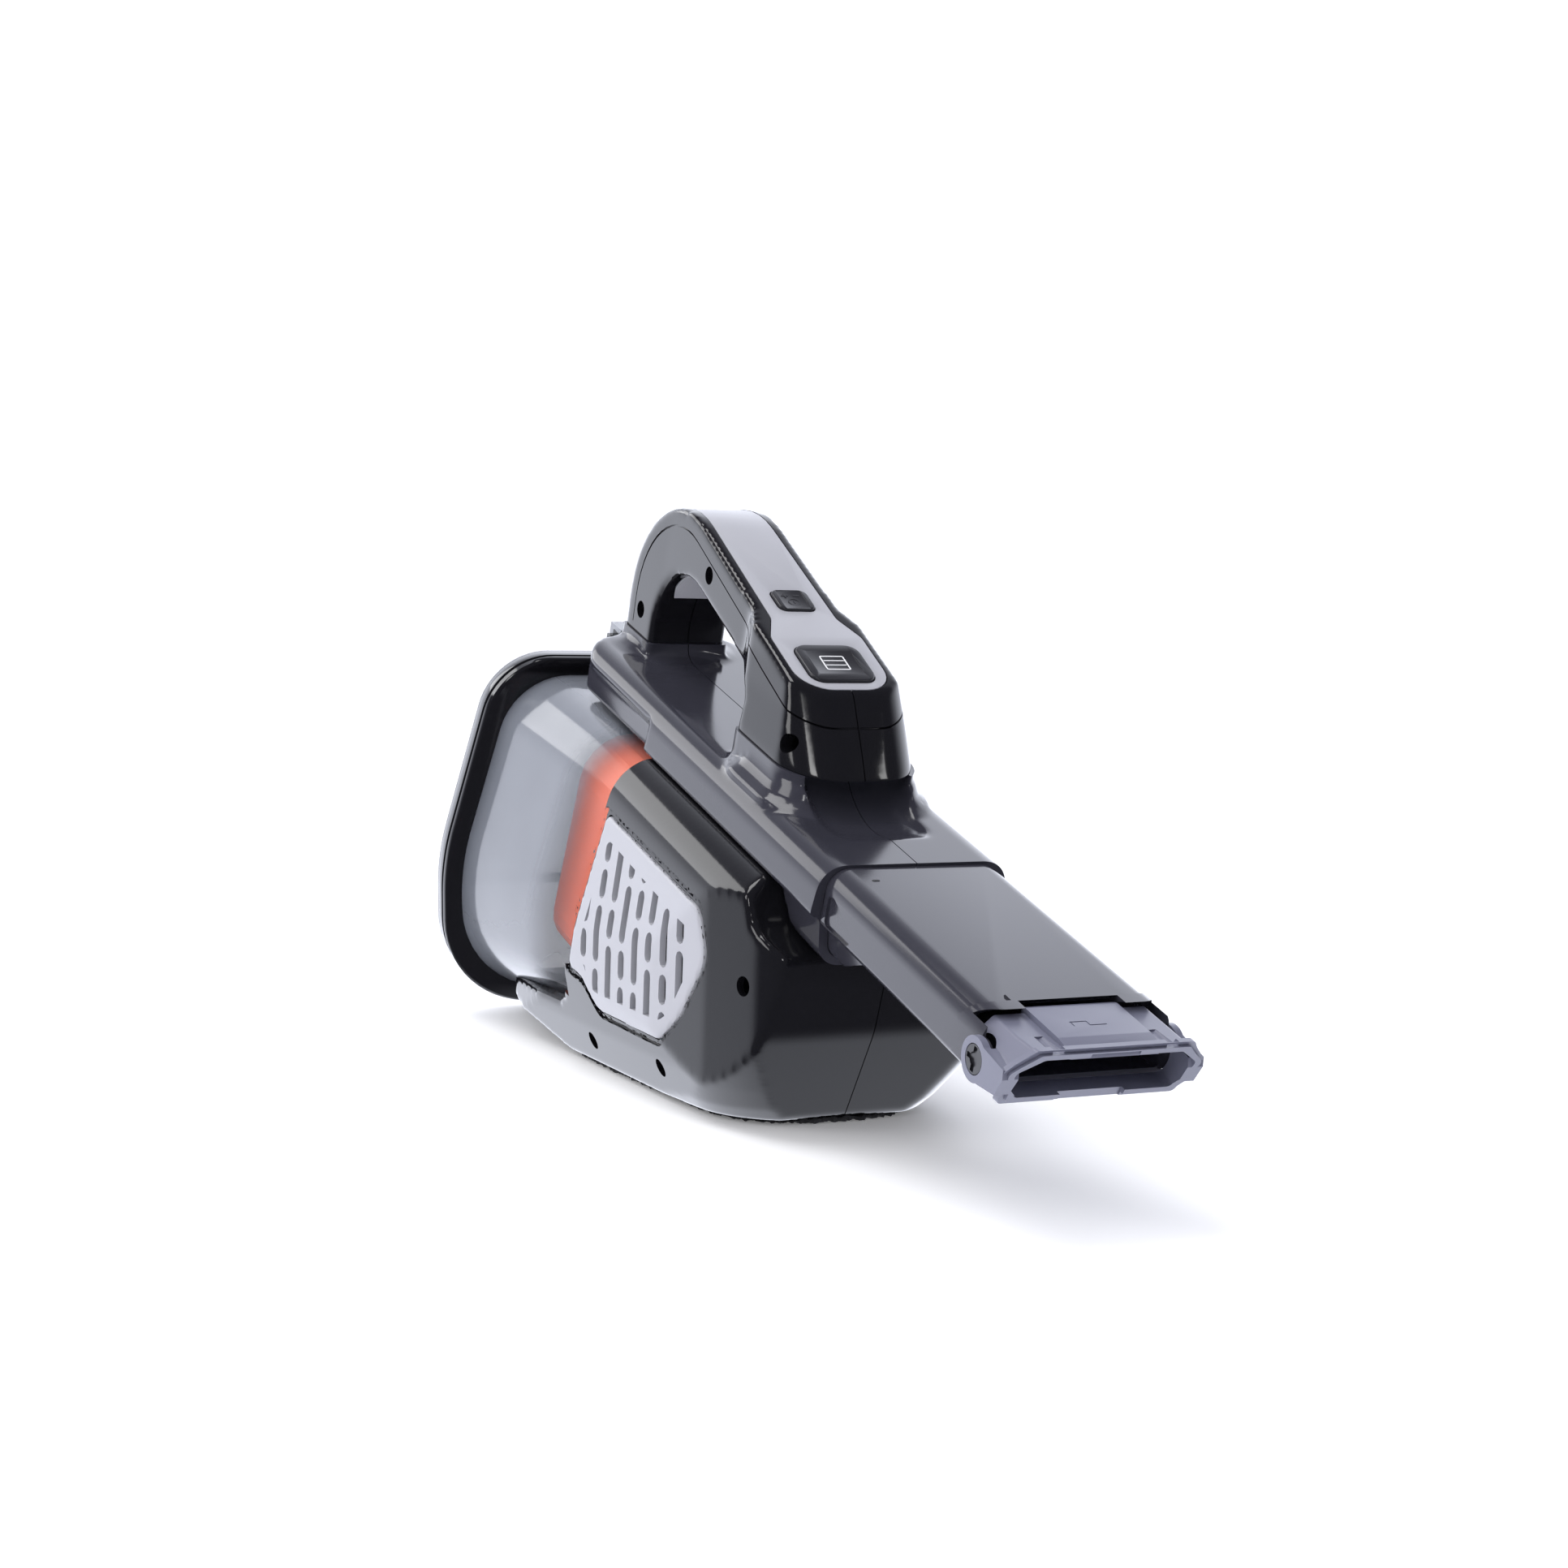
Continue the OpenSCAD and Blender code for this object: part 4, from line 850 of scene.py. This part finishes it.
def rear_door():
    dome = ((262.5, 2.6), (262.9, 2.1), (263.6, 2), (264.8, 2.2), (266, 3.1), (267.4, 4.8), (268.9, 7.6),
            (270.2, 11), (270.9, 15))
    hollow = ((261.5, 5), (264.4, 5.6), (266.4, 8.6), (268.4, 15))
    door = loft([at_v(rear_outline(e, 14), v) for v, e in dome])
    cut(door, loft([at_v(rear_outline(e, 14), v) for v, e in hollow]))
    v, h = HINGE
    add(door, rod(3.2, -13.4, 13.4, HINGE), block(-13.4, 13.4, v, v + 3, h, h + 8))
    arm = add(block(-7, 7, RIM_END + 0.8, RIM_END + 4, RIM_TOP - 8, LATCH_H + 7.6),
              block(-7, 7, RIM_END - 7, RIM_END + 4, LATCH_H + 5.6, LATCH_H + 7.6),
              block(-7, 7, RIM_END - 7, RIM_END - 4.5, LATCH_H + 4.4, LATCH_H + 7))
    add(door, eased(arm, 0.4, 2, 50))
    for s in (-1, 1):
        cut(door, rod(3.6, s * 18 - 4.3, s * 18 + 4.3, HINGE))
    cut(door, rod(HINGE_BORE + 0.04, -FAR, FAR, HINGE))
    fitted(door, "rear_door_cover", "door", SMOKED, SLOPED, ["rear_door"], 40)


def door_latch():
    bar = add(block(-10, 10, SHELL_LEN - 6, RIM_END - 0.2, LATCH_H, LATCH_H + 2),
              block(-10, 10, RIM_END - 3.4, RIM_END - 0.2, LATCH_H + 1.8, LATCH_H + 4))
    eased(bar, 0.35, 2, 50)
    for k in range(5):
        cut(bar, rod(0.7, -8, 8, (SHELL_LEN + 6 + 2.4 * k, LATCH_H + 2.4), "x", 12))
    fitted(bar, "door_latch_bar", "latch", BLACK, SLOPED, ["door_latch"])


def sole():
    """The napped pad under the hull: its edge is ragged."""
    pad = prism(rounded(both([(45, 74, 11), (44, 0, 200), (39.2, -74, 35)])), 0.7, 2, "h")
    apply(pad, "REMESH", mode="VOXEL", voxel_size=0.9)
    tufts = bpy.data.textures.new("tufts", "CLOUDS")
    tufts.noise_scale = 2.2
    apply(pad, "DISPLACE", texture=tufts, texture_coords="LOCAL", strength=2.6, mid_level=0.45)
    common(pad, block(-46, 46, -75, 75, 0, 3.2))
    fitted(pad, "napped_sole", "root", SOLE, UPRIGHT, ["base_pad"], 60)


duct_shell()
motor_housing()
sole()
handle()
keys()
nozzle()
flip_tip()
bowl()
bowl_rim()
rear_door()
door_latch()


# ---- floor, light and camera, in metres ----

FLOOR_RADIUS = 40
BRIGHT_SIDE = (0.42, 0.82, -0.4)
WORLD_STRENGTH = 2.2
# Each soft light: its name, place, size and power in watts
AREA_LIGHTS = (("left_soft", (-1.6, 0.1, 0.9), 0.8, 8), ("top_soft", (-0.5, 0.3, 1.8), 0.9, 12),
               ("front_soft", (-0.95, -1.2, 0.75), 0.3, 2.2), ("right_soft", (1.1, -1.3, 0.8), 0.3, 1.6),
               ("shoulder_soft", (-0.95, 1.7, 1.2), 1.0, 9))


def add_light(name, kind, look, **settings):
    """A light for the stage; settings are those of its object."""
    lamp = bpy.data.lights.new(name, kind)
    for key, value in look.items():
        setattr(lamp, key, value)
    obj = bpy.data.objects.new(name, lamp)
    for key, value in settings.items():
        setattr(obj, key, value)
    bpy.context.collection.objects.link(obj)


def stage():
    bpy.ops.object.select_all(action="DESELECT")
    bpy.ops.mesh.primitive_circle_add(vertices=96, radius=FLOOR_RADIUS, fill_type="NGON")
    floor = bpy.context.object
    floor.name = "floor"
    pale = Paint("pale_floor", Roughness=0.6, Emission_Color=(1, 1, 1, 1), Emission_Strength=0.14)
    pale.feed(Base_Color=pale.mix(pale.noise(3, 2), (0.9, 0.9, 0.91, 1), (0.92, 0.92, 0.93, 1)))
    floor.data.materials.append(pale.material)
    floor.visible_glossy = False
    world = bpy.data.worlds.new("studio")
    bpy.context.scene.world = world
    world.use_nodes = True
    tree = world.node_tree
    spot = tree.nodes.new("ShaderNodeTexCoord")
    across = tree.nodes.new("ShaderNodeVectorMath")
    across.operation = "DOT_PRODUCT"
    across.inputs[1].default_value = BRIGHT_SIDE
    ramp = tree.nodes.new("ShaderNodeValToRGB")
    ramp.color_ramp.interpolation = "EASE"
    dark, bright = ramp.color_ramp.elements
    dark.position, dark.color = 0.0, (0.06, 0.06, 0.075, 1)
    bright.position, bright.color = 0.62, (0.87, 0.9, 1, 1)
    tree.links.new(spot.outputs["Generated"], across.inputs[0])
    tree.links.new(across.outputs["Value"], ramp.inputs[0])
    tree.links.new(ramp.outputs[0], tree.nodes["Background"].inputs[0])
    tree.nodes["Background"].inputs[1].default_value = WORLD_STRENGTH
    add_light("even_light", "SUN", {"energy": 1.5, "angle": math.radians(70)},
              rotation_euler=(math.radians(12), math.radians(-18), 0), visible_glossy=False)
    middle = Vector((0, 0.02, 0.1))
    for name, place, size, power in AREA_LIGHTS:
        facing = (middle - Vector(place)).to_track_quat("-Z", "Y").to_euler()
        add_light(name, "AREA", {"size": size, "energy": power}, location=place, rotation_euler=facing)


def camera():
    azimuth, elevation, roll = (math.radians(a) for a in (-26.84, 5.55, 1.94))
    aim, distance = Vector((3.75, -9.35, 117.13)) * MM, 1.07255
    back = Vector((math.sin(azimuth) * math.cos(elevation), -math.cos(azimuth) * math.cos(elevation),
                   math.sin(elevation)))
    right = Vector((math.cos(azimuth), math.sin(azimuth), 0))
    up = back.cross(right)
    tilted_right = right * math.cos(roll) + up * math.sin(roll)
    tilted_up = up * math.cos(roll) - right * math.sin(roll)
    lens = bpy.data.cameras.new("camera")
    lens.lens, lens.sensor_width = 64.70, 36
    obj = bpy.data.objects.new("camera", lens)
    bpy.context.collection.objects.link(obj)
    turn = Matrix((tilted_right, tilted_up, back)).transposed()
    obj.matrix_world = Matrix.Translation(aim + back * distance) @ turn.to_4x4()
    bpy.context.scene.camera = obj


stage()
camera()
bpy.context.scene.view_settings.view_transform = "Standard"
